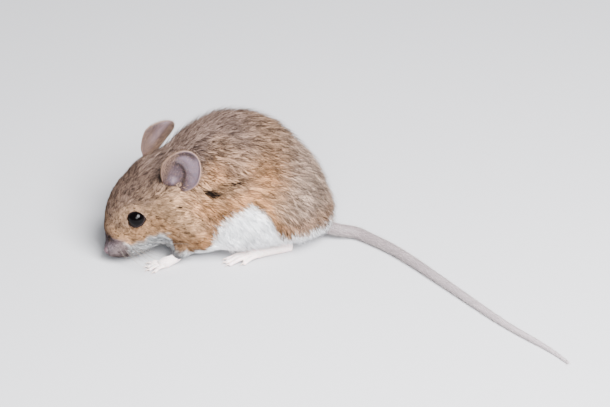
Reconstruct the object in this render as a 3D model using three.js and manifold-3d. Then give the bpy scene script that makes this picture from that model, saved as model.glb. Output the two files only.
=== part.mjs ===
// Wood mouse (long-tailed field mouse), a life-size adult that crouches with its nose to the ground.
// Millimetres, +Z up, floor at z = 0. It looks towards -X and its left side faces -Y.
// The body's solids reach to the tips of the coat; hairs and whiskers are left out.
import * as THREE from "three";
import { mergeVertices } from "three/addons/utils/BufferGeometryUtils.js";
import Module from "manifold-3d";

const wasm = await Module();
wasm.setup();

const at = (x, y, z) => new THREE.Vector3(x, y, z);
const { lerp, clamp, degToRad } = THREE.MathUtils;

// ---- driving dimensions ----
const GAP = 0.3; // width of every parting cut
const BELLY_HEIGHT = 0.7; // the fur of belly and chin clears the floor by this much

const HEAD = {
  origin: at(-15.5, -4.3, 19.4), // midway between the roots of the ears
  yaw: 27.5, // turned towards its left, degrees
  pitch: 32, // nose down, degrees
  roll: 8, // left cheek raised, degrees
  length: 23.1, // from the origin to the tip of the nose
};
const EYE = { radius: 2.55, forward: 11.1, side: 5.3, up: 0.8 };
const EAR = {
  length: 13.8,
  width: 10.8,
  thickness: 0.75,
  cup: 0.055, // how fast the shell curls up towards its two edges
  root: { back: 1.1, side: 9.2, up: 1.6 },
  // The way each ear leans to its tip and the way it opens, in the head's frame.
  left: { lean: [0.68, -0.44, 0.58], opens: [-0.3, -0.82, 0.45] },
  right: { lean: [0.8, 0.34, 0.16], opens: [0.1, 0.98, 0.2] },
};
// The egg-shaped cuts that part each leg from the trunk.
const HIND_LEG = { x: 17, side: 14, z: 9.5, radii: at(13.5, 8.6, 13.5) };
const FORELEG = { left: at(-8, -15, 9), right: at(-8, 9, 9), radii: at(7.4, 7.2, 9.6) };
const NOSE_LENGTH = 2.1; // the bare tip of the snout
const HIND_FOOT = { heel: at(19.2, 7.1, 0), splay: 22.5, length: 20 };
const FOREPAW = {
  left: { elbow: at(-5.5, -12.6, 7.6), wrist: at(-12.6, -14.2, 2.6), splay: 22 },
  right: { elbow: at(-5, 5.4, 7.6), wrist: at(-13.4, 4.6, 2.6), splay: 6 },
  length: 8.2,
};
const CLAW = { height: 0.3, radius: 0.26 }; // of a claw's point over the floor, and its thickness there
const TAIL = {
  radii: [1.75, 1.5, 1.35, 1.2, 1.05, 0.9, 0.72, 0.36], // from its root to its tip
  pieces: 4,
  rings: 40,
  sides: 8, // its eight-sided section lies on one flat side
  // Way of the tail's middle line over the floor, from its root: x and y.
  way: [
    [29.2, -1.4], [32.5, -1.4], [37.7, -1.5], [43, -3.4], [48.1, -8.6], [53.2, -15], [58.1, -22.1],
    [64.3, -28.2], [68.8, -34.9], [73.3, -40.5], [77.7, -45.7], [82.1, -49.8], [86.5, -53.5],
    [89.9, -56.6], [91.6, -60.2],
  ],
  rootHeight: 3.9, // the middle line starts at this height and settles on the floor
  settle: 14, // over this distance
};

// ---- soft forms, as distances to a surface: negative inside ----
const egg = (centre, radii) => (p) => {
  const q = p.clone().sub(centre).divide(radii);
  const far = q.length();
  return (far * (far - 1)) / Math.max(q.divide(radii).length(), 1e-6);
};
const limb = (from, r0, to, r1) => (p) => {
  const way = to.clone().sub(from);
  const reached = p.clone().sub(from);
  const share = clamp(reached.dot(way) / way.lengthSq(), 0, 1);
  return reached.addScaledVector(way, -share).length() - lerp(r0, r1, share);
};
const softMin = (a, b, soft) => {
  const mix = Math.max(soft - Math.abs(a - b), 0) / soft;
  return Math.min(a, b) - (mix * mix * soft) / 4;
};
const merged = (soft, forms) => (p) => forms.map((form) => form(p)).reduce((a, b) => softMin(a, b, soft));
const bothSides = (make) => [make(-1), make(1)];

// ---- the head's own frame: -X to the nose, -Y to its left, +Z to its crown ----
const headPose = new THREE.Matrix4()
  .makeTranslation(HEAD.origin)
  .multiply(new THREE.Matrix4().makeRotationZ(degToRad(HEAD.yaw)))
  .multiply(new THREE.Matrix4().makeRotationY(degToRad(-HEAD.pitch)))
  .multiply(new THREE.Matrix4().makeRotationX(degToRad(-HEAD.roll)));
const toHead = headPose.clone().invert();
const onHead = (x, y, z) => at(x, y, z).applyMatrix4(headPose);
const headDirection = (x, y, z) => at(x, y, z).transformDirection(headPose);

const headForms = merged(2, [
  egg(at(-2.5, 0, 0.4), at(11.5, 8.8, 8.8)), // skull
  limb(at(-8, 0, 0.8), 7.9, at(-19.2, 0, -3), 4.4), // bridge and snout
  limb(at(-19.5, 0, -4.3), 3.2, at(-21.3, 0, -4.9), 2.4), // nose
  ...bothSides((y) => limb(at(-1, 4.6 * y, -5), 6.2, at(-12.4, 3 * y, -7), 4.4)), // cheeks
  ...bothSides((y) => egg(at(-17.6, 2.4 * y, -6.2), at(3.6, 2.6, 3))), // whisker pads
  limb(at(0, 0, -9.4), 6.6, at(-15.6, 0, -9.7), 3), // throat and lower jaw
]);

// ---- the crouching body ----
const bodyForms = merged(4, [
  egg(at(4, -0.5, 21.5), at(19, 15, 17.6)), // back and loins
  egg(at(11.8, -0.2, 15.2), at(16.9, 13, 15.2)), // rump
  egg(at(21.7, -0.8, 9), at(9.9, 9.5, 7)), // seat, round the root of the tail
  egg(at(-4.5, -3, 16.5), at(12.5, 12, 15.5)), // chest
  limb(at(-4, -2.6, 20.5), 12.8, HEAD.origin, 9), // neck
  ...bothSides((y) => egg(at(14.5, 8.3 * y, 15), at(12, 7.8, 9.8))), // haunches
  egg(at(-8.5, -10, 11.5), at(8.5, 6.2, 10.5)), // left shoulder
  egg(at(-7.5, 4.2, 11.5), at(8.5, 6.2, 10.5)), // right shoulder
  egg(at(3, -1.5, 9), at(17, 13.6, 9)), // belly
]);

// The frame of an ear: its root, the way to its tip, the way it opens and the way across it.
function earFrame(y) {
  const { lean, opens } = y < 0 ? EAR.left : EAR.right;
  const { back, side, up } = EAR.root;
  const tipward = headDirection(...lean);
  const inward = headDirection(...opens);
  inward.addScaledVector(tipward, -inward.dot(tipward)).normalize();
  return { base: onHead(back, side * y, up), tipward, inward, across: tipward.clone().cross(inward) };
}

// The coat parts in front of each ear, so that the ear stands free almost from its root.
function earHollow(y) {
  const { base, tipward, inward } = earFrame(y);
  const centre = base.clone().addScaledVector(tipward, 0.3 * EAR.length).addScaledVector(inward, 3.2);
  return egg(centre, at(3.8, 3.8, 3.8));
}

// The coat ends above each hind foot, which shows from the heel on.
const footHollow = (y) => limb(at(19.5, 8.6 * y, 1.4), 3, at(8, 13 * y, 1.4), 3);
const hollows = merged(1, [...bothSides(earHollow), ...bothSides(footHollow)]);

const wholeForm = (p) => {
  const body = softMin(bodyForms(p), headForms(p.clone().applyMatrix4(toHead)), 3);
  const parted = -softMin(-body, hollows(p), 1.5);
  return -softMin(-parted, p.z - BELLY_HEIGHT, 1.5);
};

// ---- making solids ----
function solid(geometry) {
  const bare = geometry.clone();
  for (const name of ["normal", "uv"]) bare.deleteAttribute(name);
  const welded = mergeVertices(bare, 1e-5);
  return new wasm.Manifold(
    new wasm.Mesh({
      numProp: 3,
      vertProperties: new Float32Array(welded.attributes.position.array),
      triVerts: new Uint32Array(welded.index.array),
    }),
  );
}

function largest(piece) {
  return piece.decompose().reduce((a, b) => (b.volume() > a.volume() ? b : a));
}

// Joins rings of points, with a single point before the first ring and after the last one.
function skinned(startPoint, rings, endPoint) {
  const sides = rings[0].length;
  const points = [startPoint, ...rings.flat(), endPoint];
  const last = points.length - 1;
  const index = [];
  for (let s = 0; s < sides; s++) {
    const next = (s + 1) % sides;
    index.push(0, 1 + s, 1 + next);
    for (let r = 0; r + 1 < rings.length; r++) {
      const here = 1 + r * sides;
      index.push(here + s, here + sides + s, here + next);
      index.push(here + next, here + sides + s, here + sides + next);
    }
    index.push(last, last - sides + next, last - sides + s);
  }
  const geometry = new THREE.BufferGeometry().setFromPoints(points).setIndex(index);
  const made = solid(geometry);
  return made.volume() > 0 ? made : solid(geometry.setIndex(index.reverse()));
}

// How far a ray runs inside a form before it leaves it.
function reach(form, from, direction) {
  let travelled = 0;
  for (let step = 0; step < 120; step++) {
    const inside = -form(from.clone().addScaledVector(direction, travelled));
    if (inside < 0.004) break;
    travelled += inside * 0.8;
  }
  return travelled;
}

// Skins a form with rays that leave a curved spine on all sides and fan out past its two ends. The rings of
// rays turn evenly from the way they face at the spine's start to the way they face at its end.
function wrap(form, spine, { rings, sides, capRings, finerAtEnd, startsTowards, endsTowards }) {
  const up = at(0, 0, 1);
  const towards = (along) => startsTowards.clone().lerp(endsTowards, along).normalize();
  const ringAt = (along, fan) => {
    const centre = spine.getPointAt(along);
    const forward = towards(along);
    const side = forward.clone().cross(up).normalize();
    const top = side.clone().cross(forward);
    return Array.from({ length: sides }, (_, i) => {
      const angle = (2 * Math.PI * i) / sides;
      const direction = side.clone().multiplyScalar(Math.cos(angle) * Math.cos(fan));
      direction.addScaledVector(top, Math.sin(angle) * Math.cos(fan));
      direction.addScaledVector(forward, Math.sin(fan));
      return centre.clone().addScaledVector(direction, reach(form, centre, direction));
    });
  };
  const endPoint = (along, sign) => {
    const direction = towards(along).multiplyScalar(sign);
    const centre = spine.getPointAt(along);
    return centre.clone().addScaledVector(direction, reach(form, centre, direction));
  };
  const fans = Array.from({ length: capRings }, (_, i) => ((Math.PI / 2) * (i + 1)) / (capRings + 1));
  const startFans = [...fans].reverse().map((fan) => ringAt(0, -fan));
  const middle = Array.from({ length: rings + 1 }, (_, i) => ringAt(1 - (1 - i / rings) ** finerAtEnd, 0));
  const endFans = fans.map((fan) => ringAt(1, fan));
  return skinned(endPoint(0, -1), [...startFans, ...middle, ...endFans], endPoint(1, 1));
}

// A value from a list that is spread evenly from 0 to 1.
function spread(values, along) {
  const place = clamp(along, 0, 1) * (values.length - 1);
  const before = Math.min(Math.floor(place), values.length - 2);
  return lerp(values[before], values[before + 1], place - before);
}

// A round tube along a curve, with radii spread evenly over it and softly closed ends, set in its place.
function tube(curve, radii, { rings, sides, pointed = 0.5, place = new THREE.Matrix4() }) {
  const up = at(0, 0, 1);
  const ringsMade = Array.from({ length: rings + 1 }, (_, i) => {
    const along = i / rings;
    const forward = curve.getTangentAt(along);
    const side = forward.clone().cross(up).normalize();
    const top = side.clone().cross(forward);
    return Array.from({ length: sides }, (_, k) => {
      const angle = (2 * Math.PI * (k + 0.5)) / sides;
      return curve
        .getPointAt(along)
        .addScaledVector(side, spread(radii, along) * Math.cos(angle))
        .addScaledVector(top, spread(radii, along) * Math.sin(angle))
        .applyMatrix4(place);
    });
  });
  const pole = (along, sign) => {
    const bulge = sign * spread(radii, along) * pointed;
    return curve.getPointAt(along).addScaledVector(curve.getTangentAt(along), bulge).applyMatrix4(place);
  };
  return skinned(pole(0, -1), ringsMade, pole(1, 1));
}

function ellipsoid(centre, radii, grow = 0) {
  const ball = new THREE.SphereGeometry(1, 14, 9).scale(radii.x + grow, radii.y + grow, radii.z + grow);
  return solid(ball.translate(centre.x, centre.y, centre.z));
}

// All of space on the far side of a plane, moved along its direction by an offset.
function beyond(point, direction, offset) {
  const size = 400;
  const turn = new THREE.Quaternion().setFromUnitVectors(at(0, 0, 1), direction.clone().normalize());
  const centre = point.clone().addScaledVector(direction.clone().normalize(), offset + size / 2);
  return solid(new THREE.BoxGeometry(size, size, size).applyQuaternion(turn).translate(...centre));
}
const aboveFloor = beyond(at(0, 0, 0), at(0, 0, 1), 0);

// ---- the coat, whole, and the same form grown by the gap that clears it ----
const spine = new THREE.CatmullRomCurve3([
  at(17, -0.4, 13.5),
  at(10, -0.6, 16.5),
  at(2, -1, 18.5),
  at(-6, -2.2, 19),
  at(-12.5, -3.4, 18),
  onHead(-7, 0, -2),
  onHead(-13, 0, -3.4),
  onHead(-20, 0, -4.4),
]);
const wrapping = {
  rings: 29,
  sides: 24,
  capRings: 4,
  finerAtEnd: 1.25,
  startsTowards: at(-1, 0, 0.15),
  endsTowards: headDirection(-1, 0, 0),
};
const coat = wrap(wholeForm, spine, wrapping);
const clearOfCoat = wrap((p) => wholeForm(p) - GAP, spine, wrapping);

// ---- parting cuts through the coat ----
const haunch = (y, grow) => ellipsoid(at(HIND_LEG.x, HIND_LEG.side * y, HIND_LEG.z), HIND_LEG.radii, grow);
const upperArm = (y, grow) => ellipsoid(y < 0 ? FORELEG.left : FORELEG.right, FORELEG.radii, grow);
const neckFront = { point: onHead(2.5, 0, 0), towards: headDirection(-0.94, 0, 0.34) };
const neckBack = { point: at(-6.5, -2.6, 20), towards: at(-0.95, -0.26, 0.14) };
const nosePlane = { point: onHead(NOSE_LENGTH - HEAD.length, 0, 0), towards: headDirection(-1, 0, 0) };
const jawTop = { point: onHead(-12, 0, -6.9), towards: headDirection(0.1, 0, -1) };
const jawBack = { point: onHead(-8, 0, 0), towards: headDirection(-1, 0, 0.3) };
const beyondPlane = (plane, offset) => beyond(plane.point, plane.towards, offset);

const half = GAP / 2;
const jawRegion = (sign) => beyondPlane(jawTop, sign * half).intersect(beyondPlane(jawBack, sign * half));
const legRegions = [haunch(-1, half), haunch(1, half), upperArm(-1, half), upperArm(1, half)];
const legless = legRegions.reduce((rest, region) => rest.subtract(region), coat);

const eyeCentre = (y) => onHead(-EYE.forward, EYE.side * y, EYE.up);
const eyeball = (y, grow) => {
  const radius = EYE.radius + grow;
  return solid(new THREE.SphereGeometry(radius, 14, 9).translate(...eyeCentre(y)));
};

const face = legless.intersect(beyondPlane(neckFront, half));
const headSolid = bothSides((y) => eyeball(y, GAP))
  .reduce((rest, socket) => rest.subtract(socket), face)
  .subtract(beyondPlane(nosePlane, -half))
  .subtract(jawRegion(-1));
const neckSolid = legless.intersect(beyondPlane(neckBack, half)).subtract(beyondPlane(neckFront, -half));
const trunkSolid = legless.subtract(beyondPlane(neckBack, -half)).subtract(beyondPlane(neckFront, -half));
const jawSolid = face.intersect(jawRegion(1)).subtract(beyondPlane(nosePlane, -half));
const noseSolid = face.intersect(beyondPlane(nosePlane, half));

// ---- ears: thin cupped shells ----
function earSolid(y) {
  const { length, width, thickness, cup } = EAR;
  const { base, tipward, inward, across } = earFrame(y);
  const turns = 18;
  const bands = 4;
  const outline = (angle) => {
    const along = (1 - Math.cos(angle)) / 2; // 0 at the root, 1 at the tip
    const narrow = lerp(0.62, 1, Math.min(along / 0.55, 1) ** 0.8);
    return { along: along * length, over: (width / 2) * narrow * Math.sin(angle) };
  };
  const shellPoint = (angle, share, side) => {
    const middle = 0.52 * length;
    const edge = outline(angle);
    const along = lerp(middle, edge.along, share);
    const over = edge.over * share;
    const curl = cup * over ** 2 * lerp(1.7, 0.75, along / length) - 0.012 * (along - middle) ** 2;
    const thin = thickness * lerp(0.5, 0.38, share);
    return base
      .clone()
      .addScaledVector(tipward, along)
      .addScaledVector(across, over)
      .addScaledVector(inward, curl + side * thin);
  };
  const ringOf = (share, side) =>
    Array.from({ length: turns }, (_, i) => shellPoint((2 * Math.PI * i) / turns, share, side));
  const shares = Array.from({ length: bands }, (_, i) => (i + 1) / bands);
  const inner = shares.map((share) => ringOf(share, 1));
  const outer = [...shares].reverse().map((share) => ringOf(share, -1));
  const shell = skinned(shellPoint(0, 0, 1), [...inner, ...outer], shellPoint(0, 0, -1));
  return largest(shell.subtract(clearOfCoat));
}

// ---- feet: each in its own frame, pointing along +X from the heel or wrist, its inner toe towards +Y ----
const line = (...points) => new THREE.CatmullRomCurve3(points);

// Sets a foot down at its heel or wrist, turned to point forward and outward; the left one is mirrored.
function footPlace(y, place, splay) {
  const down = new THREE.Matrix4().makeTranslation(place.x, place.y, 0);
  const turn = new THREE.Matrix4().makeRotationZ(Math.PI - degToRad(splay) * y);
  return down.multiply(turn).multiply(new THREE.Matrix4().makeScale(1, y, 1));
}

// A toe and its claw as one form, from the toe's root to the root of the claw and on to the claw's point.
function digit([root, tip], thick, claw, place) {
  const knuckle = root.clone().lerp(tip, 0.5).add(at(0, 0, 0.45));
  const outward = tip.clone().sub(root).setZ(0).normalize();
  const point = tip.clone().addScaledVector(outward, claw).setZ(CLAW.height);
  const radii = [1, 0.9, 0.82, 0.84, 0.78].map((share) => share * thick);
  return tube(line(root, knuckle, tip, point), [...radii, CLAW.radius], { rings: 5, sides: 6, place });
}

function hindFoot(y) {
  const { heel, splay, length } = HIND_FOOT;
  const place = footPlace(y, at(heel.x, heel.y * y, 0), splay);
  const soleWay = line(at(-0.1, 0, 1.35), at(4, 0, 1.5), at(8, 0, 1.9), at(12, 0, 2.2));
  const sole = tube(soleWay, [1.5, 1.4, 1.35, 1.4, 1.6, 1.3], { rings: 5, sides: 8, place });
  const shinWay = line(at(0.5, 0, 1.8), at(3.2, -0.4, 6.2), at(6.4, -0.8, 9));
  const shin = tube(shinWay, [1.3, 1.9, 2.6], { rings: 3, sides: 7, place });
  // Root and tip of each toe, from the inner one to the outer one.
  const toes = [
    [at(9.8, 0.9, 1.7), at(13.6, 1.9, 0.5)],
    [at(11.6, 0.8, 2), at(length - 1.9, 1.7, 0.5)],
    [at(12, 0.1, 2.1), at(length - 1.2, 0.3, 0.5)],
    [at(11.8, -0.7, 2), at(length - 1.6, -1.1, 0.5)],
    [at(10, -1, 1.7), at(14.6, -2.2, 0.5)],
  ];
  const whole = toes.reduce((foot, toe) => foot.add(digit(toe, 0.8, 1.2, place)), sole.add(shin));
  return largest(whole.intersect(aboveFloor).subtract(clearOfCoat));
}

const forepawPose = (y) => (y < 0 ? FOREPAW.left : FOREPAW.right);
const wristPlane = (y) => {
  const { wrist, elbow } = forepawPose(y);
  return { point: wrist, towards: wrist.clone().sub(elbow) };
};

function forepaw(y) {
  const { wrist, splay } = forepawPose(y);
  const place = footPlace(y, wrist, splay);
  const palmWay = line(at(-0.4, 0, 1.9), at(2, 0, 1.25), at(4, 0, 0.95));
  const palm = tube(palmWay, [1.35, 1.5, 1.75, 1.3], { rings: 3, sides: 8, place });
  const toes = [
    [at(3.2, 1.15, 0.9), at(FOREPAW.length - 2.2, 2.3, 0.42)],
    [at(3.9, 0.45, 0.9), at(FOREPAW.length - 1.1, 0.9, 0.42)],
    [at(3.9, -0.4, 0.9), at(FOREPAW.length - 1, -0.6, 0.42)],
    [at(3.2, -1.1, 0.9), at(FOREPAW.length - 2, -2.1, 0.42)],
  ];
  const whole = toes.reduce((paw, toe) => paw.add(digit(toe, 0.66, 1, place)), palm);
  const cut = whole.intersect(aboveFloor).intersect(beyondPlane(wristPlane(y), half));
  return largest(cut.subtract(clearOfCoat));
}

function forearm(y) {
  const { wrist, elbow } = forepawPose(y);
  const middle = wrist.clone().lerp(elbow, 0.5);
  const arm = tube(line(elbow, middle, wrist), [3, 2.6, 2.2, 1.8], { rings: 4, sides: 8 });
  const cut = arm.subtract(beyondPlane(wristPlane(y), -half)).subtract(clearOfCoat);
  return largest(cut.intersect(aboveFloor));
}

// ---- tail: one tapering length laid on the floor, parted by cuts square to it ----
const tailWay = new THREE.CatmullRomCurve3(TAIL.way.map(([x, y]) => at(x, y, 0)));

function wholeTail() {
  const { radii, rings, sides, rootHeight, settle } = TAIL;
  const total = tailWay.getLength();
  const flat = Math.cos(Math.PI / sides);
  const alongs = Array.from({ length: rings + 1 }, (_, i) => i / rings);
  const points = alongs.map((along) => {
    const lift = (rootHeight - radii[0]) * clamp(1 - (along * total) / settle, 0, 1) ** 2;
    return tailWay.getPointAt(along).setZ(spread(radii, along) * flat + lift);
  });
  return tube(line(...points), radii, { rings, sides, pointed: 1 }).subtract(clearOfCoat);
}

function tailPieces() {
  const cuts = Array.from({ length: TAIL.pieces - 1 }, (_, i) => {
    const along = (i + 1) / TAIL.pieces;
    return { point: tailWay.getPointAt(along), towards: tailWay.getTangentAt(along) };
  });
  const whole = wholeTail();
  return Array.from({ length: TAIL.pieces }, (_, i) => {
    const front = i > 0 ? whole.intersect(beyondPlane(cuts[i - 1], half)) : whole;
    return largest(i < cuts.length ? front.subtract(beyondPlane(cuts[i], -half)) : front);
  });
}

// ---- the mouse as named parts ----
const material = (color, roughness) => new THREE.MeshStandardMaterial({ color, roughness, metalness: 0 });
const FUR = material(0xb48a63, 0.85);
const BARE_EAR = material(0x9c8a8c, 0.6);
const BARE_FOOT = material(0xe6d6d2, 0.6);
const BARE_TAIL = material(0xb0a0a4, 0.6);
const NOSE = material(0xa8868a, 0.45);
const EYE_BLACK = material(0x0a0808, 0.08);

const mouse = new THREE.Group();
function addPart(name, piece, finish) {
  const { numProp, vertProperties, triVerts } = piece.getMesh();
  const geometry = new THREE.BufferGeometry();
  geometry.setAttribute("position", new THREE.BufferAttribute(new Float32Array(vertProperties), numProp));
  geometry.setIndex(new THREE.BufferAttribute(new Uint32Array(triVerts), 1));
  geometry.computeVertexNormals();
  const mesh = new THREE.Mesh(geometry, finish);
  mesh.name = name;
  mouse.add(mesh);
}

addPart("head", largest(headSolid), FUR);
addPart("lower_jaw", largest(jawSolid), FUR);
addPart("nose", largest(noseSolid), NOSE);
addPart("neck", largest(neckSolid), FUR);
addPart("trunk", largest(trunkSolid), FUR);
for (const [name, y] of [["left", -1], ["right", 1]]) {
  addPart(`ear_${name}`, earSolid(y), BARE_EAR);
  addPart(`eye_${name}`, eyeball(y, 0), EYE_BLACK);
  addPart(`foreleg_${name}`, largest(coat.intersect(upperArm(y, -half))), FUR);
  addPart(`forearm_${name}`, forearm(y), FUR);
  addPart(`forepaw_${name}`, forepaw(y), BARE_FOOT);
  addPart(`hind_leg_${name}`, largest(coat.intersect(haunch(y, -half))), FUR);
  addPart(`hind_foot_${name}`, hindFoot(y), BARE_FOOT);
}
tailPieces().forEach((piece, i) => addPart(`tail_${i + 1}`, piece, BARE_TAIL));

// The origin is on the floor, below the middle of the whole outline.
const outline = new THREE.Box3().setFromObject(mouse);
const middle = outline.getCenter(at(0, 0, 0));
mouse.position.set(-middle.x, -middle.y, -outline.min.z);

export default mouse;
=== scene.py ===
import math

import bpy
import numpy as np
from mathutils import Matrix, Vector, kdtree
from mathutils.bvhtree import BVHTree


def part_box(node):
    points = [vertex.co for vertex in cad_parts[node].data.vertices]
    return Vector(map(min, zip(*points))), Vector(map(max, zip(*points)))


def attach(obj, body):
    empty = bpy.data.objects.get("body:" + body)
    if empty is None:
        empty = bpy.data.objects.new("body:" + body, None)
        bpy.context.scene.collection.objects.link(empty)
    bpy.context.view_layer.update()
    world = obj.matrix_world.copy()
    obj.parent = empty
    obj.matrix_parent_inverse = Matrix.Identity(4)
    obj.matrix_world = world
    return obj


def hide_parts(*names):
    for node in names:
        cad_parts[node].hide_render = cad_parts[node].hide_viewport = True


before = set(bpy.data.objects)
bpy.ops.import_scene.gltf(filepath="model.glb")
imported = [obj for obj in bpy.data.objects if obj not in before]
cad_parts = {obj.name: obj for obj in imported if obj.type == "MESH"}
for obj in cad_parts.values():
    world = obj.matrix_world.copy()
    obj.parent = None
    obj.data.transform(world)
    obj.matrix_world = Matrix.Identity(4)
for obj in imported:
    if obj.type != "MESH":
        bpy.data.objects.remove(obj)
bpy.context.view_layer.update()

mm = 0.001
quickShare = 1
quickWide = 1
print("frame: loaded")

# Places are in millimetres from a point on the floor, midway between the hind feet and heelReach ahead of
# their heels.
heelReach = 19.985
leftFoot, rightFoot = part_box("hind_foot_left"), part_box("hind_foot_right")
bodyPlace = np.array([
    leftFoot[1].x / mm - heelReach,
    (leftFoot[0].y + rightFoot[1].y) / 2 / mm,
    0.0,
])
headPose = {"origin": (-15.5, -4.3, 19.4), "yaw": 27.5, "pitch": 32, "roll": 8}
eyePlan = {
    "radius": 2.55, "forward": 11.1, "side": 5.3, "up": 0.8, "axis": (0.2, 1, 0.45), "segments": 64,
    "rings": 40,
}
sideWords = {1: "Left", -1: "Right"}    # a side is 1 on the mouse's left and -1 on its right


def turned(axis, degrees):
    return np.array(Matrix.Rotation(math.radians(degrees), 3, axis))


headTurn = turned("Z", headPose["yaw"]) @ turned("Y", -headPose["pitch"]) @ turned("X", -headPose["roll"])
headOrigin = np.array(headPose["origin"])
headSigns = np.array([-1, -1, 1])


# The head's own measures run forward to the nose, to its left and up to its crown.
def headPoint(forward, left, up):
    return headOrigin + headTurn @ (headSigns * (forward, left, up))


def headWay(forward, left, up):
    return headTurn @ (headSigns * (forward, left, up))


def inHead(points):
    return (points - headOrigin) @ headTurn * headSigns


def toFrame(points):
    return (np.asarray(points, float) + bodyPlace) * mm


def fromFrame(points):
    return np.asarray(points, float) / mm - bodyPlace


# Rises softly from 0 at low to 1 at high.
def smooth(low, high, value):
    share = np.clip((value - low) / (high - low), 0, 1)
    return share * share * (3 - 2 * share)


# Falls softly from 1 at low to 0 at high.
def fade(low, high, value):
    return 1 - smooth(low, high, value)


# A soft hill, 1 at its centre: each part is a value, its centre and its reach.
def hill(*parts):
    return np.exp(-sum(((value - centre) / reach) ** 2 for value, centre, reach in parts))


def mixed(first, second, share):
    return first + (second - first) * share


def unit(vectors):
    return vectors / np.maximum(np.linalg.norm(vectors, axis=-1, keepdims=True), 1e-9)


# The part of each way that lies flat on a surface with these normals.
def laidOn(ways, normals):
    return unit(ways - normals * (ways * normals).sum(1, keepdims=True))


# A soft, repeatable unevenness from a few crossed waves, about -1 to 1.
wavePlan = {"number": 7, "sizes": (0.7, 1.5), "level": 3.2}


def waves(points, size, seed):
    dice = np.random.default_rng(seed)
    total = np.zeros(len(points))
    for _ in range(wavePlan["number"]):
        way = unit(dice.normal(size=3)) * (2 * math.pi / (size * dice.uniform(*wavePlan["sizes"])))
        total += np.sin(points @ way + dice.uniform(0, 2 * math.pi))
    return total / wavePlan["level"]


def addPiece(name, points, faces):
    mesh = bpy.data.meshes.new(name)
    mesh.from_pydata(toFrame(points).tolist(), [], faces)
    mesh.update()
    piece = bpy.data.objects.new(name, mesh)
    bpy.context.scene.collection.objects.link(piece)
    mesh.shade_smooth()
    return piece


def pointsOf(piece):
    flat = np.empty(len(piece.data.vertices) * 3)
    piece.data.vertices.foreach_get("co", flat)
    return fromFrame(flat.reshape(-1, 3))


def normalsOf(piece):
    flat = np.empty(len(piece.data.vertices) * 3)
    piece.data.vertex_normals.foreach_get("vector", flat)
    return flat.reshape(-1, 3)


def setPoints(piece, points):
    piece.data.vertices.foreach_set("co", toFrame(points).ravel())
    piece.data.update()


# Lifts what would reach below the floor.
def settle(piece):
    points = pointsOf(piece)
    points[:, 2] = np.maximum(points[:, 2], 0.0)
    setPoints(piece, points)


def choose(*pieces):
    bpy.ops.object.select_all(action="DESELECT")
    for piece in pieces:
        piece.select_set(True)
    bpy.context.view_layer.objects.active = pieces[0]


def joined(name, pieces):
    choose(*pieces)
    bpy.ops.object.join()
    pieces[0].name = pieces[0].data.name = name
    return pieces[0]


def editAll(piece, *steps):
    choose(piece)
    bpy.ops.object.mode_set(mode="EDIT")
    bpy.ops.mesh.select_all(action="SELECT")
    for step in steps:
        step()
    bpy.ops.object.mode_set(mode="OBJECT")


def facesOut():
    bpy.ops.mesh.normals_make_consistent(inside=False)


def remeshed(piece, size):
    change = piece.modifiers.new("Remesh", "REMESH")
    change.mode = "VOXEL"
    change.voxel_size = size * mm
    choose(piece)
    bpy.ops.object.modifier_apply(modifier=change.name)


def smoothed(piece, times):
    change = piece.modifiers.new("Smooth", "SMOOTH")
    change.factor = 0.5
    change.iterations = times
    choose(piece)
    bpy.ops.object.modifier_apply(modifier=change.name)


# Faces between closed rings of points that follow one another, with a point before them and one after.
def ringFaces(rings, sides):
    last = rings * sides + 1
    faces = []
    for side in range(sides):
        after = (side + 1) % sides
        faces.append((0, 1 + after, 1 + side))
        for ring in range(rings - 1):
            here = 1 + ring * sides
            faces.append((here + side, here + after, here + sides + after, here + sides + side))
        faces.append((last, last - sides + side, last - sides + after))
    return faces


# Closed tube along points, with a radius at each; flat squashes it in height.
def addTube(name, points, radii, sides, flat=1.0):
    points = np.asarray(points, float)
    radii = np.asarray(radii, float)
    ways = unit(np.gradient(points, axis=0))
    across = unit(np.cross(ways, [0, 0, 1.0]) + 1e-6)
    over = np.cross(across, ways)
    angles = 2 * math.pi * (np.arange(sides) + 0.5) / sides
    beside = across[:, None] * np.cos(angles)[None, :, None]
    above = flat * over[:, None] * np.sin(angles)[None, :, None]
    rings = points[:, None] + radii[:, None, None] * (beside + above)
    start = points[0] - ways[0] * radii[0] * 0.6
    end = points[-1] + ways[-1] * radii[-1] * 0.6
    made = np.concatenate([[start], rings.reshape(-1, 3), [end]])
    piece = addPiece(name, made, ringFaces(len(points), sides))
    editAll(piece, facesOut)
    return piece


# A smooth curve with count points through a few given ones.
def curveThrough(points, count):
    points = np.asarray(points, float)
    padded = np.vstack([2 * points[0] - points[1], points, 2 * points[-1] - points[-2]])
    steps = np.linspace(0, len(points) - 1 - 1e-9, count)
    place = steps.astype(int)
    t = (steps - place)[:, None]
    p0, p1, p2, p3 = (padded[place + k] for k in range(4))
    square = (2 * p0 - 5 * p1 + 4 * p2 - p3) * t**2
    cube = (3 * p1 - p0 - 3 * p2 + p3) * t**3
    return 0.5 * (2 * p1 + (p2 - p0) * t + square + cube)


# How deep the coat lies over the skin.
coatDepth = {
    "body": 2.0, "belly": 1.5, "neck": 1.5, "crown": 0.9, "forehead": 0.65, "cheek": 0.6,
    "muzzle": 0.22, "lid": 0.12, "foreleg": 0.9, "forearm": 0.35,
}
wrists = {1: (-12.6, -14.2, 2.6), -1: (-13.4, 4.6, 2.6)}
elbows = {1: (-5.5, -12.6, 7.6), -1: (-5.0, 5.4, 7.6)}


def eyeCentre(side):
    return headPoint(eyePlan["forward"], eyePlan["side"] * side, eyePlan["up"])


def eyeAxis(side):
    forward, out, up = eyePlan["axis"]
    return unit(headWay(forward, out * side, up))


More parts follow.
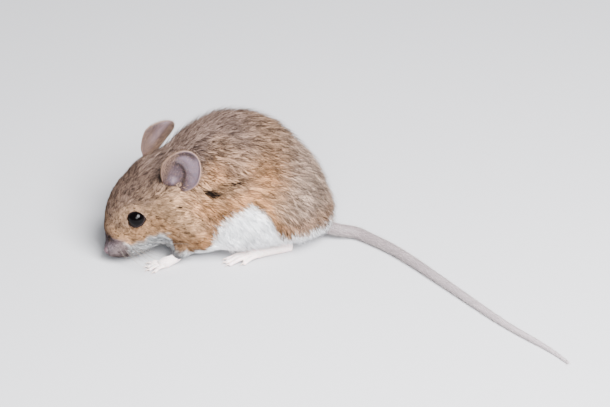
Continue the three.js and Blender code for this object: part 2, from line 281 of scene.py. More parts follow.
# How far points lie from a straight line, and at which share of its length.
def offLine(points, start, end):
    start, end = np.asarray(start, float), np.asarray(end, float)
    way = end - start
    share = np.clip((points - start) @ way / (way @ way), 0, 1)
    return np.linalg.norm(points - start - share[:, None] * way, axis=1), share


def eyeDistance(points):
    return np.minimum(*(np.linalg.norm(points - eyeCentre(side), axis=1) for side in (1, -1)))


def depthAt(points):
    forward, _, up = inHead(points).T
    plan = coatDepth
    body = mixed(plan["body"], plan["belly"], fade(4, 12, points[:, 2]))
    body = mixed(body, plan["neck"], smooth(-9, -3, forward))
    head = mixed(plan["crown"], plan["cheek"], fade(-4, 2, up))
    head = mixed(head, plan["forehead"], smooth(3, 9, forward))
    head = mixed(head, plan["muzzle"], smooth(11, 17, forward))
    depth = mixed(body, head, smooth(-4, 4, forward))
    for side in (1, -1):
        away, share = offLine(points, elbows[side], wrists[side])
        low = mixed(plan["foreleg"], plan["forearm"], smooth(0.1, 0.8, share))
        depth = mixed(depth, low, fade(2.6, 5.5, away) * smooth(-10, -8, -points[:, 2]))
    return mixed(depth, plan["lid"], fade(2.9, 5.2, eyeDistance(points)))


# The skin is one closed surface under the coat, from the merged solids of the flesh.
skinPlan = {
    "merge": 0.01, "grow": 0.19, "voxel": 0.5, "softenings": 34, "sinks": 3, "sinkSoftenings": 2,
    "fineVoxel": 0.36, "fineSoftenings": 5,
}
flesh = ["head", "lower_jaw", "nose", "neck", "trunk"]
flesh += [f"{part}_{side}" for part in ("foreleg", "forearm", "hind_leg") for side in ("left", "right")]


def copyOf(node):
    piece = bpy.data.objects.new("fleshCopy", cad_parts[node].data.copy())
    bpy.context.scene.collection.objects.link(piece)
    return piece


skin = joined("skin", [copyOf(node) for node in flesh])
editAll(
    skin,
    lambda: bpy.ops.mesh.remove_doubles(threshold=skinPlan["merge"] * mm),
    facesOut,
    lambda: bpy.ops.transform.shrink_fatten(value=skinPlan["grow"] * mm),
)
remeshed(skin, skinPlan["voxel"])
smoothed(skin, skinPlan["softenings"])
for _ in range(skinPlan["sinks"]):
    points = pointsOf(skin)
    setPoints(skin, points - normalsOf(skin) * depthAt(points)[:, None] / skinPlan["sinks"])
    smoothed(skin, skinPlan["sinkSoftenings"])
remeshed(skin, skinPlan["fineVoxel"])
smoothed(skin, skinPlan["fineSoftenings"])


# The opening of the lids: degrees out from the eye's axis (wide), by degrees round it from the back upwards
# (rounds). The corner lies towards the nose.
lidPlan = {
    "rounds": (24, 59, 87, 106, 125, 148, 161, 174, 190, 210, 241, 273, 300, 330, 357),
    "wide": (55, 51, 54, 59, 65, 75, 81, 76, 65, 55, 49, 47, 49, 55, 58),
    "corner": 161, "cornerWide": 86, "cornerFree": 0.3, "socketDeep": 0.6, "socketGap": 0.1, "spots": 96,
}


def lidTurn(rounds):
    return np.interp(np.degrees(rounds) % 360, lidPlan["rounds"], lidPlan["wide"], period=360)


# Across an eye: towards the back of the head and up, square to its axis.
def eyeAcross(side):
    axis = eyeAxis(side)
    back = headWay(-1, 0, 0)
    back = unit(back - axis * (back @ axis))
    up = np.cross(axis, back) * (1 if np.cross(axis, back)[2] > 0 else -1)
    return back, up


# The throat is lifted clear of the floor, the chest drawn back over the forepaw, the forehead rounded out
# over the bridge of the nose and the snout narrowed.
faceShape = {"throatLift": 1.5, "bridge": 0.75, "snout": 0.5, "chestBack": 1.9}
points = pointsOf(skin)
forward, left, up = inHead(points).T
throat = hill((forward, 11.5, 3.2)) * smooth(6.5, 9, -up) * fade(-14.6, -12.8, points[:, 0])
bridge = hill((forward, 14, 3.6)) * smooth(1.5, 4, up) * fade(3, 6, np.abs(left))
snout = smooth(19.5, 22, forward) * smooth(-3.5, -1, up)
chest = hill((points[:, 2], 6.8, 2.6)) * fade(-12.5, -8.5, points[:, 0]) * smooth(8, 11, -points[:, 1])
lifted = np.outer(faceShape["throatLift"] * throat, headWay(0, 0, 1))
points = points + lifted + np.outer(faceShape["chestBack"] * chest, (1, 0.25, 0))
points = points + normalsOf(skin) * (faceShape["bridge"] * bridge - faceShape["snout"] * snout)[:, None]
setPoints(skin, points)

# Each eye sits in a socket that fits round the ball, behind the opening.
for side in (1, -1):
    points = pointsOf(skin)
    centre, axis = eyeCentre(side), eyeAxis(side)
    across, upward = eyeAcross(side)
    reach = points - centre
    away = np.linalg.norm(reach, axis=1)
    turn = np.degrees(np.arccos(np.clip(reach @ axis / away, -1, 1)))
    edge = lidTurn(np.arctan2(reach @ upward, reach @ across)) + 4
    rim = eyePlan["radius"] + lidPlan["socketGap"]
    socket = rim - lidPlan["socketDeep"] + lidPlan["socketDeep"] * smooth(-12, 0, turn - edge)
    slope = np.minimum(np.maximum(away, rim), rim + 0.03 * np.maximum(turn - edge, 0))
    target = np.where(turn < edge, socket, slope)
    pull = fade(3.5, 5.0, away) * fade(28, 45, turn - edge)
    points = centre + reach / away[:, None] * (away + (target - away) * pull)[:, None]
    setPoints(skin, points)
skin.data.shade_smooth()
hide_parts(*[node for node in flesh if node != "nose"])
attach(skin, "root")
print("skin: faces", len(skin.data.polygons))


def addEye(side):
    bpy.ops.object.select_all(action="DESELECT")
    bpy.ops.mesh.primitive_uv_sphere_add(
        segments=eyePlan["segments"], ring_count=eyePlan["rings"], radius=eyePlan["radius"] * mm)
    eye = bpy.context.object
    eye.name = eye.data.name = "eye" + sideWords[side]
    turn = Vector(eyeAxis(side)).to_track_quat("Z", "Y").to_matrix().to_4x4()
    eye.data.transform(Matrix.Translation(Vector(toFrame(eyeCentre(side)))) @ turn)
    eye.data.shade_smooth()
    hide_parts("eye_left" if side > 0 else "eye_right")
    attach(eye, "root")
    return eye


eyes = [addEye(1), addEye(-1)]


# Height of the edge between the tawny flank and the white belly along the body, and of the same edge on
# the head in the head's own measures. Skin and coat are marked alike.
bellyEdge = {
    "x": (
        -18, -13, -10.5, -8, -4, -1.8, -0.3, 1.7, 3.6, 5.8, 7.7, 10.1, 11.5, 12.8, 14.9, 15.7, 16.5, 19, 22,
        27.5, 32,
    ),
    "z": (
        6.5, 4.2, 4.2, 4.2, 4.4, 6.2, 10, 13.6, 15, 16.4, 18.1, 19.7, 18.6, 17.1, 14.6, 11.8, 8.7, 6.4, 6.6,
        7.3, 6,
    ),
}
chinEdge = {
    "forward": (4, 7, 9.6, 12.3, 15.5, 17, 18, 24),
    "up": (-10.5, -6.8, -5.9, -5.8, -6.1, -4.8, -3.2, -3.2),
}
# Places that are warmer than the coat round them: x, z and their reach.
glows = ((14, 27, 5, 6), (0, 29, 4, 4), (-2, 18.5, 6, 4.5))
markPlan = {
    "edgeSoft": 1.0, "edgeRagged": 0.5, "greyFrom": 21, "greyTo": 37, "greyRump": 0.4, "greyNeck": 0.55,
    "eyeRing": 0.35, "brow": 0.75, "warmReach": 3.4, "warmRump": 0.6, "warmHead": 0.5, "glowGrey": 0.55,
    "snoutDark": 0.97,
}


def markings(points):
    plan = markPlan
    forward, left, up = inHead(points).T
    x, height = points[:, 0], points[:, 2]
    besideHead = smooth(8.6, 10.2, np.abs(left))
    onArm = np.maximum(besideHead, smooth(6.6, 7.8, np.abs(left)) * smooth(-13.2, -12.2, x))
    onHead = smooth(2.5, 6.5, forward) * (1 - onArm * fade(-8.6, -6.6, up))
    above = height - np.interp(x, bellyEdge["x"], bellyEdge["z"])
    aboveChin = up - np.interp(forward, chinEdge["forward"], chinEdge["up"])
    overEdge = mixed(above, aboveChin, onHead) + plan["edgeRagged"] * waves(points, 3.2, 5)
    white = fade(-plan["edgeSoft"], plan["edgeSoft"], overEdge)
    # White is taken off the snout for its own mauve-grey hair and dark follicles, and partly as painted shade
    # on the upper lip.
    snout = smooth(17.2, 18.8, forward + 0.4 * np.minimum(up + 5, 0) + 0.3 * waves(points, 2, 6))
    white = white * (1 - plan["snoutDark"] * snout)
    grey = smooth(plan["greyFrom"], plan["greyTo"], height + 2.5 * waves(points, 9, 8))
    grey = grey * (1 - plan["greyRump"] * smooth(4, 18, x))
    grey = grey + plan["greyNeck"] * smooth(1, -7, x) * smooth(20, 27, height)
    crown = smooth(-2.5, 8.5, up + 1.2 * waves(points, 4, 9) + 0.12 * np.abs(forward - 8))
    crown = crown * smooth(-3, 3, forward)
    crown = crown * (1 - plan["eyeRing"] * hill((eyeDistance(points), 3.6, 1.2)))
    brow = plan["brow"] * fade(1.6, 5, left) * smooth(8, 12, forward) * smooth(-6, -3, up)
    crown = np.clip(np.maximum(crown, brow), 0, 1)
    rump = smooth(13, 24, x)
    warm = hill((overEdge, 3.2, plan["warmReach"])) * (1 - plan["warmRump"] * rump)
    warm = warm * (1 - plan["warmHead"] * smooth(2, 6, forward))
    for glowX, glowZ, long, high in glows:
        glow = hill((x, glowX, long), (height, glowZ, high)) * fade(-4, 2, forward)
        warm = np.maximum(warm, glow)
        grey = grey * (1 - plan["glowGrey"] * glow)
    muzzle = smooth(20.2, 22.2, forward + 0.55 * np.abs(left) - 0.3 * up + 0.5 * waves(points, 2.5, 21))
    return {
        "white": white, "grey": np.clip(grey, 0, 1), "warm": warm, "crown": crown,
        "muzzle": muzzle, "rump": rump,
    }


def addMarks(mesh, marks):
    for name, values in marks.items():
        field = mesh.attributes.get(name) or mesh.attributes.new(name, "FLOAT", "POINT")
        field.data.foreach_set("value", np.asarray(values, np.float32))


addMarks(skin.data, markings(pointsOf(skin)))

nosePlan = {
    "forward": 22.9, "up": -4.0, "radii": (0.95, 1.1, 0.9), "bare": 0.95, "voxel": 0.06, "softenings": 5,
    "wing": (23.15, 0.55, -4.15), "wingRadii": (0.66, 0.62, 0.62),
    "lip": (22.95, 0, -5.0), "lipRadii": (0.7, 0.5, 0.6), "groove": 0.16, "nostril": 0.34,
}
coatPlan = {
    "tufts": 109000, "backLength": 5.4, "bellyLength": 4.8, "neckLength": 5.0, "crownLength": 3.2,
    "cheekLength": 2.7, "foreheadLength": 2.1, "muzzleLength": 0.8, "lidLength": 0.7, "forelegLength": 2.1,
    "forearmLength": 1.7, "bodyWidth": 0.22, "headWidth": 0.15, "muzzleWidth": 0.1, "armWidth": 0.13,
    "lidWidth": 0.11, "lengths": (0.72, 1.18), "widths": (0.75, 1.25), "depths": (0.7, 1.12),
    "stray": 13, "wander": 13, "lockShare": 0.07, "clump": 0.66, "clumpSize": 1.9, "lockRise": 0.42,
    "sunk": 0.12, "pieceTufts": 19500,
}
guardPlan = {
    "hairs": 11000, "lengths": (1.1, 1.45), "widths": (0.07, 0.11), "depths": (1.1, 1.9), "stray": 14,
    "dark": 0.75,
}
dice = np.random.default_rng(41)
tree = BVHTree.FromPolygons(
    [tuple(point) for point in pointsOf(skin)], [tuple(face.vertices) for face in skin.data.polygons])


def nearestSkin(points):
    found = [tree.find_nearest(tuple(point)) for point in points]
    return np.array([hit[0][:] for hit in found]), np.array([hit[1][:] for hit in found])


# How near points are to a foreleg, and at which share of its way down.
def legShare(points, side, low, high):
    away, share = offLine(points, elbows[side], wrists[side])
    return fade(low, high, away) * smooth(-11, -8, -points[:, 2]), share


def lengthAt(points):
    forward, _, up = inHead(points).T
    plan = coatPlan
    body = mixed(plan["backLength"], plan["bellyLength"], fade(5, 20, points[:, 2]))
    body = mixed(body, plan["neckLength"], smooth(-10, -4, forward))
    head = mixed(plan["crownLength"], plan["cheekLength"], fade(-4, 2, up))
    head = mixed(head, plan["foreheadLength"], smooth(3, 9, forward))
    head = mixed(head, plan["muzzleLength"], smooth(10, 18, forward))
    length = mixed(body, head, smooth(-4, 3, forward))
    for side in (1, -1):
        near, share = legShare(points, side, 2.6, 5)
        low = mixed(plan["forelegLength"], plan["forearmLength"], smooth(0.1, 0.8, share))
        length = mixed(length, low, near)
    return mixed(length, plan["lidLength"], fade(2.9, 5.4, eyeDistance(points)))


def widthAt(points):
    forward = inHead(points)[:, 0]
    head = mixed(coatPlan["headWidth"], coatPlan["muzzleWidth"], smooth(11, 18, forward))
    width = mixed(coatPlan["bodyWidth"], head, smooth(-5, 2, forward))
    for side in (1, -1):
        near, _ = legShare(points, side, 2.6, 5)
        width = mixed(width, coatPlan["armWidth"], near)
    return mixed(width, coatPlan["lidWidth"], fade(2.9, 5.0, eyeDistance(points)))


tailRoot = np.array([29.5, -1.4, 4.2])


# Turns ways aside where they would run into a place, as the coat parts round an eye or an ear.
def partedRound(ways, points, place, least, near, far, share):
    towards = place - points
    away = np.linalg.norm(towards, axis=1, keepdims=True)
    inward = towards / away
    crossing = (ways * inward).sum(1, keepdims=True)
    return ways - inward * np.maximum(crossing - least, 0) * fade(near, far, away) * share


# The way the coat lies: from the nose back over head and body to the tail, down the legs, and round eyes
# and ears.
def lieOf(points, normals):
    forward, left, up = inHead(points).T
    x, height = points[:, 0], points[:, 2]
    headBack = np.tile(headWay(-1, 0, 0), (len(points), 1))
    headBack += headWay(0, 0, -1)[None] * (0.55 * fade(-6, 1, up) * smooth(-4, 6, forward))[:, None]
    headBack += headWay(0, 1, 0)[None] * (0.25 * np.sign(left) * smooth(1, 5, np.abs(left)))[:, None]
    body = np.tile([1.0, 0.0, 0.0], (len(points), 1))
    body = body + (unit(tailRoot - points) - body) * smooth(10, 27, x)[:, None] * 0.85
    sideways = np.abs(normals[:, 1])
    body[:, 2] -= smooth(0.15, 0.9, sideways) * (0.3 + 0.7 * fade(6, 22, height))
    haunch = hill((x, 16, 8), (height, 9, 8)) * smooth(0.3, 0.8, sideways)
    body += haunch[:, None] * np.array([-0.35, 0, -0.9])
    shoulder = hill((x, -8, 7), (height, 8, 7))
    body += shoulder[:, None] * np.array([-0.1, 0, -1.1])
    way = mixed(body, headBack, smooth(-5, 3, forward)[:, None])
    for side in (1, -1):
        near, share = legShare(points, side, 2.4, 4)
        arm = unit(np.array(wrists[side], float) - elbows[side])
        way = mixed(way, arm, (0.9 * near * smooth(0.25, 0.6, share))[:, None])
    for side in (1, -1):
        way = partedRound(way, points, eyeCentre(side), -0.25, 3.2, 7.5, 1)
        way = partedRound(way, points, headPoint(-0.2, 9.2 * side, 3), 0.1, 4.5, 8.5, 0.6)
    return laidOn(way, normals)


def twisted(ways, normals, degrees):
    angle = np.radians(degrees)[:, None]
    return ways * np.cos(angle) + np.cross(normals, ways) * np.sin(angle)


# A tuft is a three-sided blade with three corners at the root, three at the middle and a point. The section
# gives each corner's place across the blade and over it, in widths, and the patch its map.
bladeFaces = [(0, 2, 1), (0, 1, 4, 3), (1, 2, 5, 4), (2, 0, 3, 5), (3, 4, 6), (4, 5, 6), (5, 3, 6)]
bladeLoops = np.concatenate([np.array(face) for face in bladeFaces])
bladeSizes = np.array([len(face) for face in bladeFaces])
bladePlan = {"section": ((-0.5, -0.12), (0.5, -0.12), (0.0, 0.26)), "rootWide": 0.8, "middleWide": 0.92}
bladePatch = 0.003 * np.array([(0, 0), (0.5, 0), (1, 0), (0, 0.5), (0.5, 0.5), (1, 0.5), (0.5, 1)])


def bladesOf(roots, normals, middles, tips, widths):
    run = unit(middles - roots)
    across = unit(np.cross(run, normals))
    rise = np.cross(across, run)
    blades = np.empty((len(roots), 7, 3))
    for corner, (over, lift) in enumerate(bladePlan["section"]):
        aside = across * over + rise * lift
        blades[:, corner] = roots + aside * (widths * bladePlan["rootWide"])[:, None]
        blades[:, 3 + corner] = middles + aside * (widths * bladePlan["middleWide"])[:, None]
    blades[:, 6] = tips
    return blades


def spanned(values):
    return 0.01 + 0.97 * (values - values.min()) / max(np.ptp(values), 1e-6)


def addTufts(name, blades, marks, places):
    number = len(blades)
    mesh = bpy.data.meshes.new(name)
    mesh.vertices.add(number * 7)
    mesh.vertices.foreach_set("co", toFrame(blades.reshape(-1, 3)).ravel())
    loops = (np.arange(number)[:, None] * 7 + bladeLoops[None]).ravel()
    mesh.loops.add(len(loops))
    mesh.loops.foreach_set("vertex_index", loops.astype(np.int32))
    starts = np.arange(number)[:, None] * len(bladeLoops) + (np.cumsum(bladeSizes) - bladeSizes)[None]
    mesh.polygons.add(number * len(bladeSizes))
    mesh.polygons.foreach_set("loop_start", starts.ravel().astype(np.int32))
    mesh.update(calc_edges=True)
    mesh.polygons.foreach_set("use_smooth", np.ones(number * len(bladeSizes), bool))
    addMarks(mesh, {key: np.repeat(values, 7) for key, values in marks.items()})
    addMarks(mesh, {"along": np.tile([0, 0, 0, 0.5, 0.5, 0.5, 1], number)})
    layer = mesh.uv_layers.new(name="OFBake")
    spots = np.column_stack([spanned(places[0]), spanned(places[1])])[:, None] + bladePatch[None]
    layer.data.foreach_set("uv", spots.reshape(-1, 2)[loops].ravel())
    piece = bpy.data.objects.new(name, mesh)
    bpy.context.scene.collection.objects.link(piece)
    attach(piece, "root")
    return piece


# Random places on a piece, more of them where the crowd is larger.
def scatterOn(piece, count, crowdAt):
    mesh = piece.data
    mesh.calc_loop_triangles()
    corners = np.empty(len(mesh.loop_triangles) * 3, np.int32)
    mesh.loop_triangles.foreach_get("vertices", corners)
    triangles = pointsOf(piece)[corners.reshape(-1, 3)]
    firstEdge = triangles[:, 1] - triangles[:, 0]
    secondEdge = triangles[:, 2] - triangles[:, 0]
    cross = np.cross(firstEdge, secondEdge)
    weight = np.linalg.norm(cross, axis=1) / 2 * crowdAt(triangles.mean(1), unit(cross))
    places = (np.arange(count) + dice.random(count)) / count
    picks = np.searchsorted(np.cumsum(weight) / weight.sum(), places)
    picks = np.minimum(picks, len(weight) - 1)
    a, b = dice.random(count), dice.random(count)
    over = a + b > 1
    a[over], b[over] = 1 - a[over], 1 - b[over]
    roots = triangles[picks, 0] + a[:, None] * firstEdge[picks] + b[:, None] * secondEdge[picks]
    return roots, unit(cross[picks])


# Short hairs that lie along a way over a piece, with no locks. A kind gives their number, length, width and
# lift, and their marks.
shortPlan = {
    "stray": 0.18, "lengths": (0.6, 1.3), "lifts": (0.5, 1.5), "widths": (0.7, 1.3), "toneSpread": 0.2,
    "sunk": 0.05, "floorGap": 0.04,
}
noMarks = {"white": 0.0, "grey": 0.0, "warm": 0.0, "crown": 0.0, "muzzle": 0.0, "rump": 0.0, "guard": 0.0}


def addShortHairs(name, piece, crowdAt, wayAt, placeAt, kind):
    count = kind["hairs"] // quickShare
    roots, normals = scatterOn(piece, count, crowdAt)
    ways = laidOn(wayAt(roots) + dice.normal(0, shortPlan["stray"], (count, 3)), normals)
    reach = (kind["length"] * dice.uniform(*shortPlan["lengths"], count))[:, None]
    rise = (kind["lift"] * dice.uniform(*shortPlan["lifts"], count))[:, None]
    middles = roots + ways * reach * 0.5 + normals * rise * 0.75
    tips = roots + ways * reach + normals * rise
    widths = kind["width"] * dice.uniform(*shortPlan["widths"], count)
    blades = bladesOf(roots - normals * shortPlan["sunk"], normals, middles, tips, widths)
    blades[:, :, 2] = np.maximum(blades[:, :, 2], shortPlan["floorGap"])
    marks = {key: np.full(count, value) for key, value in (noMarks | kind["marks"]).items()}
    marks["tone"] = np.clip(0.5 + shortPlan["toneSpread"] * dice.normal(size=count), 0, 1)
    return addTufts(name, blades, marks, placeAt(roots))


# The coat lies close except along its lower edges, where it hangs free.
hangPlan = {"chin": 0.6, "drop": (0, 0, -0.55), "out": 0.15}


def hangAt(points):
    forward, _, up = inHead(points).T
    chin = smooth(1, 5, forward) * fade(17, 20, forward) * fade(-8.5, -6.5, up)
    low = fade(5.5, 10.5, points[:, 2]) * fade(1, 4, forward)
    return np.maximum(chin * hangPlan["chin"], low)


# Grows a tuft over the skin from each root, and gives its middle and its tip.
def grownTufts(roots, normals, lengths, depths, bends):
    long, deep = lengths[:, None], depths[:, None]
    ways = twisted(lieOf(roots, normals), normals, bends)
    middles, middleNormals = nearestSkin(roots + ways * long * 0.5)
    laterWays = twisted(lieOf(middles, middleNormals), middleNormals, bends * 1.15)
    ends, endNormals = nearestSkin(middles + laterWays * long * 0.5)
    middles = middles + middleNormals * (deep * 0.62)
    tips = ends + endNormals * deep
    hang = (hangAt(roots) * smooth(-0.75, -0.1, normals[:, 2]))[:, None]
    drop = unit(ways + hangPlan["drop"] + normals * hangPlan["out"])
    middles = mixed(middles, roots + ways * long * 0.45 + normals * (deep * 0.6), hang)
    tips = mixed(tips, roots + (ways * 0.45 + drop * 0.5) * long + normals * (deep * 0.7), hang)
    return middles, tips


# Locks: the tips of neighbouring tufts draw together, and each lock has its own height and tone.
def lockedTips(tips, lengths, depths, normals):
    count = len(tips)
    seeds = dice.choice(count, max(int(count * coatPlan["lockShare"]), 10), replace=False)
    lookup = kdtree.KDTree(len(seeds))
    for place, seed in enumerate(seeds):
        lookup.insert(Vector(tips[seed]), place)
    lookup.balance()
    lock = np.array([lookup.find(Vector(tip))[1] for tip in tips])
    target = tips[seeds[lock]]
    gap = np.linalg.norm(target - tips, axis=1)
    size = coatPlan["clumpSize"]
    drawn = coatPlan["clump"] * fade(size, size * 1.6, gap) * smooth(1.2, 3.5, lengths)
    tips = mixed(tips, target, (drawn * dice.uniform(0.5, 1.3, count))[:, None])
    rise = coatPlan["lockRise"] * dice.uniform(-1, 1, len(seeds))[lock] * depths
    return tips + normals * rise[:, None], dice.normal(0, 1, len(seeds))[lock]


def eyeCorner(side):
    across, upward = eyeAcross(side)
    turn, rounds = math.radians(lidPlan["cornerWide"]), math.radians(lidPlan["corner"])
    aside = (across * math.cos(rounds) + upward * math.sin(rounds)) * math.sin(turn)
    ray = eyeAxis(side) * math.cos(turn) + aside
    return eyeCentre(side) + ray * (eyePlan["radius"] + 0.45)


# Fur grows thinner under the belly, and not at all on the eyes, the nose's tip and the left eye's corner.
def furCrowd(points, normals):
    crowd = 1 / (widthAt(points) * np.sqrt(lengthAt(points)))
    crowd *= np.where((normals[:, 2] < -0.75) & (points[:, 2] < 4), 0.35, 1.0)
    offNose = np.linalg.norm(points - headPoint(nosePlan["forward"], 0, nosePlan["up"]), axis=1)
    furry = (eyeDistance(points) > eyePlan["radius"] + 0.06) & (offNose > nosePlan["bare"])
    furry &= np.linalg.norm(points - eyeCorner(1), axis=1) > lidPlan["cornerFree"]
    return crowd * furry


def guardCrowd(points, normals):
    forward = inHead(points)[:, 0]
    return (1 - 0.85 * smooth(-2, 8, forward)) * (points[:, 2] > 3) * (forward < 9)


count = coatPlan["tufts"] // quickShare
roots, normals = scatterOn(skin, count, furCrowd)
lengths = lengthAt(roots) * dice.uniform(*coatPlan["lengths"], count)
widths = widthAt(roots) * dice.uniform(*coatPlan["widths"], count) * quickWide
depths = depthAt(roots) * dice.uniform(*coatPlan["depths"], count)
calm = 1 - 0.6 * smooth(8, 14, inHead(roots)[:, 0])
bends = (coatPlan["wander"] * waves(roots, 7, 3) + dice.normal(0, coatPlan["stray"], count)) * calm
middles, tips = grownTufts(roots, normals, lengths, depths, bends)
tips, lockTone = lockedTips(tips, lengths, depths, normals)

# Guard hairs: longer, thinner and darker, standing a little out of the rest.
guards = guardPlan["hairs"] // quickShare
guardRoots, guardNormals = scatterOn(skin, guards, guardCrowd)
guardLengths = lengthAt(guardRoots) * dice.uniform(*guardPlan["lengths"], guards)
guardDepths = depthAt(guardRoots) * dice.uniform(*guardPlan["depths"], guards)
guardBends = coatPlan["wander"] * waves(guardRoots, 7, 3) + dice.normal(0, guardPlan["stray"], guards)
guardMiddles, guardTips = grownTufts(guardRoots, guardNormals, guardLengths, guardDepths, guardBends)
roots, normals = np.vstack([roots, guardRoots]), np.vstack([normals, guardNormals])
middles, tips = np.vstack([middles, guardMiddles]), np.vstack([tips, guardTips])
widths = np.concatenate([widths, dice.uniform(*guardPlan["widths"], guards) * quickWide])
isGuard = np.concatenate([np.zeros(count), np.ones(guards)])
count += guards
tips[:, 2] = np.maximum(tips[:, 2], 0.25 + 0.6 * dice.random(count))
middles[:, 2] = np.maximum(middles[:, 2], 0.3)
print("coat: tufts", count)


# How far a point lies from each of many straight lines.
def offSegments(point, starts, ends):
    ways = ends - starts
    share = np.clip(((point - starts) * ways).sum(1) / np.maximum((ways * ways).sum(1), 1e-9), 0, 1)
    return np.linalg.norm(point - starts - share[:, None] * ways, axis=1)


# Tone makes a tuft lighter or darker, and a drop darkens a part of the coat. A patch on the left side is a
# place in x and its reach, a place in z and its reach, and the change. A dark spot is a place and its reach.
toneDrop = {"all": 0.02, "head": 0.16, "neck": 0.05, "cheek": 0.15, "chin": 0.33}
tonePlan = {"tuft": 0.14, "patches": 0.07, "lock": 0.18, "muzzle": 0.24, "rump": 0.06, "backBand": 0.12}
# The second patch is painted shade in the hollow between the belly's white and the thigh.
tonePatches = ((-1, 3, 18.5, 2.5, -0.12), (8.8, 2.4, 9, 3, -0.2))
darkPlan = {"coat": 0.12, "face": 0.07, "grey": 0.2, "crown": 0.15, "patches": 0.08}
# Dark spots are dark tufts where the coat parts: the dark underfur there, and painted shade in the gap.
darkSpots = (
    ((-2.0, -15.6, 24.2), 0.62), ((-1.1, -15.6, 23.2), 0.62), ((4.6, -14.5, 26.6), 0.4),
    ((-10.0, -15.2, 19.4), 0.35),
)
spotPlan = {"guard": 1.2, "tone": 0.12, "crowd": 1.7, "flat": np.array([1, 0.4, 1])}

# A tuft takes its markings from where its outer half shows.
seen = middles * 0.45 + tips * 0.55
seenX, seenZ = seen[:, 0], seen[:, 2]
marks = markings(seen)
seenForward, _, seenUp = inHead(seen).T
onFace = smooth(-2, 4, seenForward)
quiet = 1 - 0.55 * onFace * (1 - 0.4 * marks["crown"])
tone = (tonePlan["tuft"] * dice.normal(0, 1, count) + tonePlan["patches"] * waves(roots, 4.5, 12)) * quiet
neckDrop = toneDrop["neck"] * hill((seenForward, -3, 5)) * smooth(2, 6, seenUp)
tone -= toneDrop["all"] + toneDrop["head"] * smooth(-1, 5, seenForward) + neckDrop
tone -= toneDrop["cheek"] * onFace * fade(0, 6, seenUp)
# Painted light: the front of the muzzle is lightened where it lies in shade.
lit = smooth(15.5, 18, seenForward) * smooth(-6.5, -4, seenUp)
tone += tonePlan["muzzle"] * lit * np.maximum(fade(-3, -1, seenUp), marks["muzzle"])
tone += tonePlan["rump"] * marks["rump"] * (1 - marks["white"])
onLeft = smooth(3, -4, seen[:, 1])
tone += tonePlan["backBand"] * hill((seenX, 8.5, 3.5)) * smooth(19, 24, seenZ) * onLeft
for patchX, long, patchZ, high, change in tonePatches:
    tone += change * hill((seenX, patchX, long), (seenZ, patchZ, high)) * onLeft
tone[:len(lockTone)] += tonePlan["lock"] * lockTone * quiet[:len(lockTone)]
# White tufts vary less in tone; towards the chin the chin drop darkens them as painted shade.
tone += marks["white"] * (0.1 - 0.3 * tone - toneDrop["chin"] * smooth(6, 10, seenForward))
marks["tone"] = np.clip(0.5 + tone, 0, 1)
darkShare = (darkPlan["coat"] - darkPlan["face"] * onFace) + darkPlan["grey"] * marks["grey"]
darkShare = darkShare + darkPlan["crown"] * marks["crown"]
darkShare = darkShare + darkPlan["patches"] * waves(roots, 3.2, 17) * quiet
dark = np.maximum(dice.random(count) < darkShare, isGuard * (dice.random(count) < guardPlan["dark"]))
marks["guard"] = dark * (1 - 0.85 * marks["white"]) * (1 - 0.8 * smooth(15, 18, seenForward))
for spot, size in darkSpots:
    away = offSegments(spot * spotPlan["flat"], middles * spotPlan["flat"], tips * spotPlan["flat"])
    struck = dice.random(count) < spotPlan["crowd"] * hill((away, 0, size))
    marks["guard"] = np.where(struck, spotPlan["guard"], marks["guard"])
    marks["tone"] = np.where(struck, spotPlan["tone"], marks["tone"])
blades = bladesOf(roots - normals * coatPlan["sunk"], normals, middles, tips, widths)

# The coat is parted into pieces by place. Its own map runs round the body and along it.
regionPlan = {
    "face": 8.5, "neck": -2, "middle": -2, "bodyParts": (-6, 4, 13), "bodyAxis": (-1.0, 15.0), "join": -12,
}
headward, leftward, _ = inHead(roots).T
alongBody = np.where(headward > 0, regionPlan["join"] - headward, roots[:, 0])
bodyCentre = np.column_stack([roots[:, 0], *(np.full(count, value) for value in regionPlan["bodyAxis"])])
headCentre = headOrigin + np.outer(np.maximum(headward, 0), headWay(1, 0, -0.15)) + headWay(0, 0, -1.5)
outward = roots - mixed(bodyCentre, headCentre, smooth(-3, 3, headward)[:, None])
around = np.arctan2(outward[:, 1], outward[:, 2])
ofFace = headward > regionPlan["face"]
ofHead = ~ofFace & (headward > regionPlan["neck"])
regions = {
    "coatFace": ofFace,
    "coatHeadLeft": ofHead & (leftward > 0),
    "coatHeadRight": ofHead & (leftward <= 0),
}
leftSide = roots[:, 1] < regionPlan["middle"]
rear = np.digitize(roots[:, 0], regionPlan["bodyParts"])
for number, word in enumerate(("Shoulder", "Chest", "Flank", "Rump")):
    for side, chosen in ((1, leftSide), (-1, ~leftSide)):
        regions["coat" + word + sideWords[side]] = ~ofFace & ~ofHead & (rear == number) & chosen
coatPieces = []
for name, chosen in regions.items():
    which = np.flatnonzero(chosen)
    order = which[np.argsort(alongBody[which])]
    parts = math.ceil(len(which) / coatPlan["pieceTufts"])
    for number, share in enumerate(np.array_split(order, parts)):
        part = {key: values[share] for key, values in marks.items()}
        partName = name + (str(number + 1) if parts > 1 else "")
        places = (alongBody[share], around[share])
        coatPieces.append(addTufts(partName, blades[share], part, places))
print("coat:", {piece.name: len(piece.data.polygons) for piece in coatPieces})


# A lid is a dark almond-shaped rim on the ball, with a corner towards the nose. Its section gives degrees out
# from its edge, and millimetres over the ball.
lidSection = (
    (-0.5, -0.05), (-0.3, 0.05), (0.8, 0.11), (2.6, 0.15), (5, 0.17), (8, 0.18), (12, 0.18), (18, 0.12),
    (20, -0.3), (10, -0.4), (2, -0.3),
)


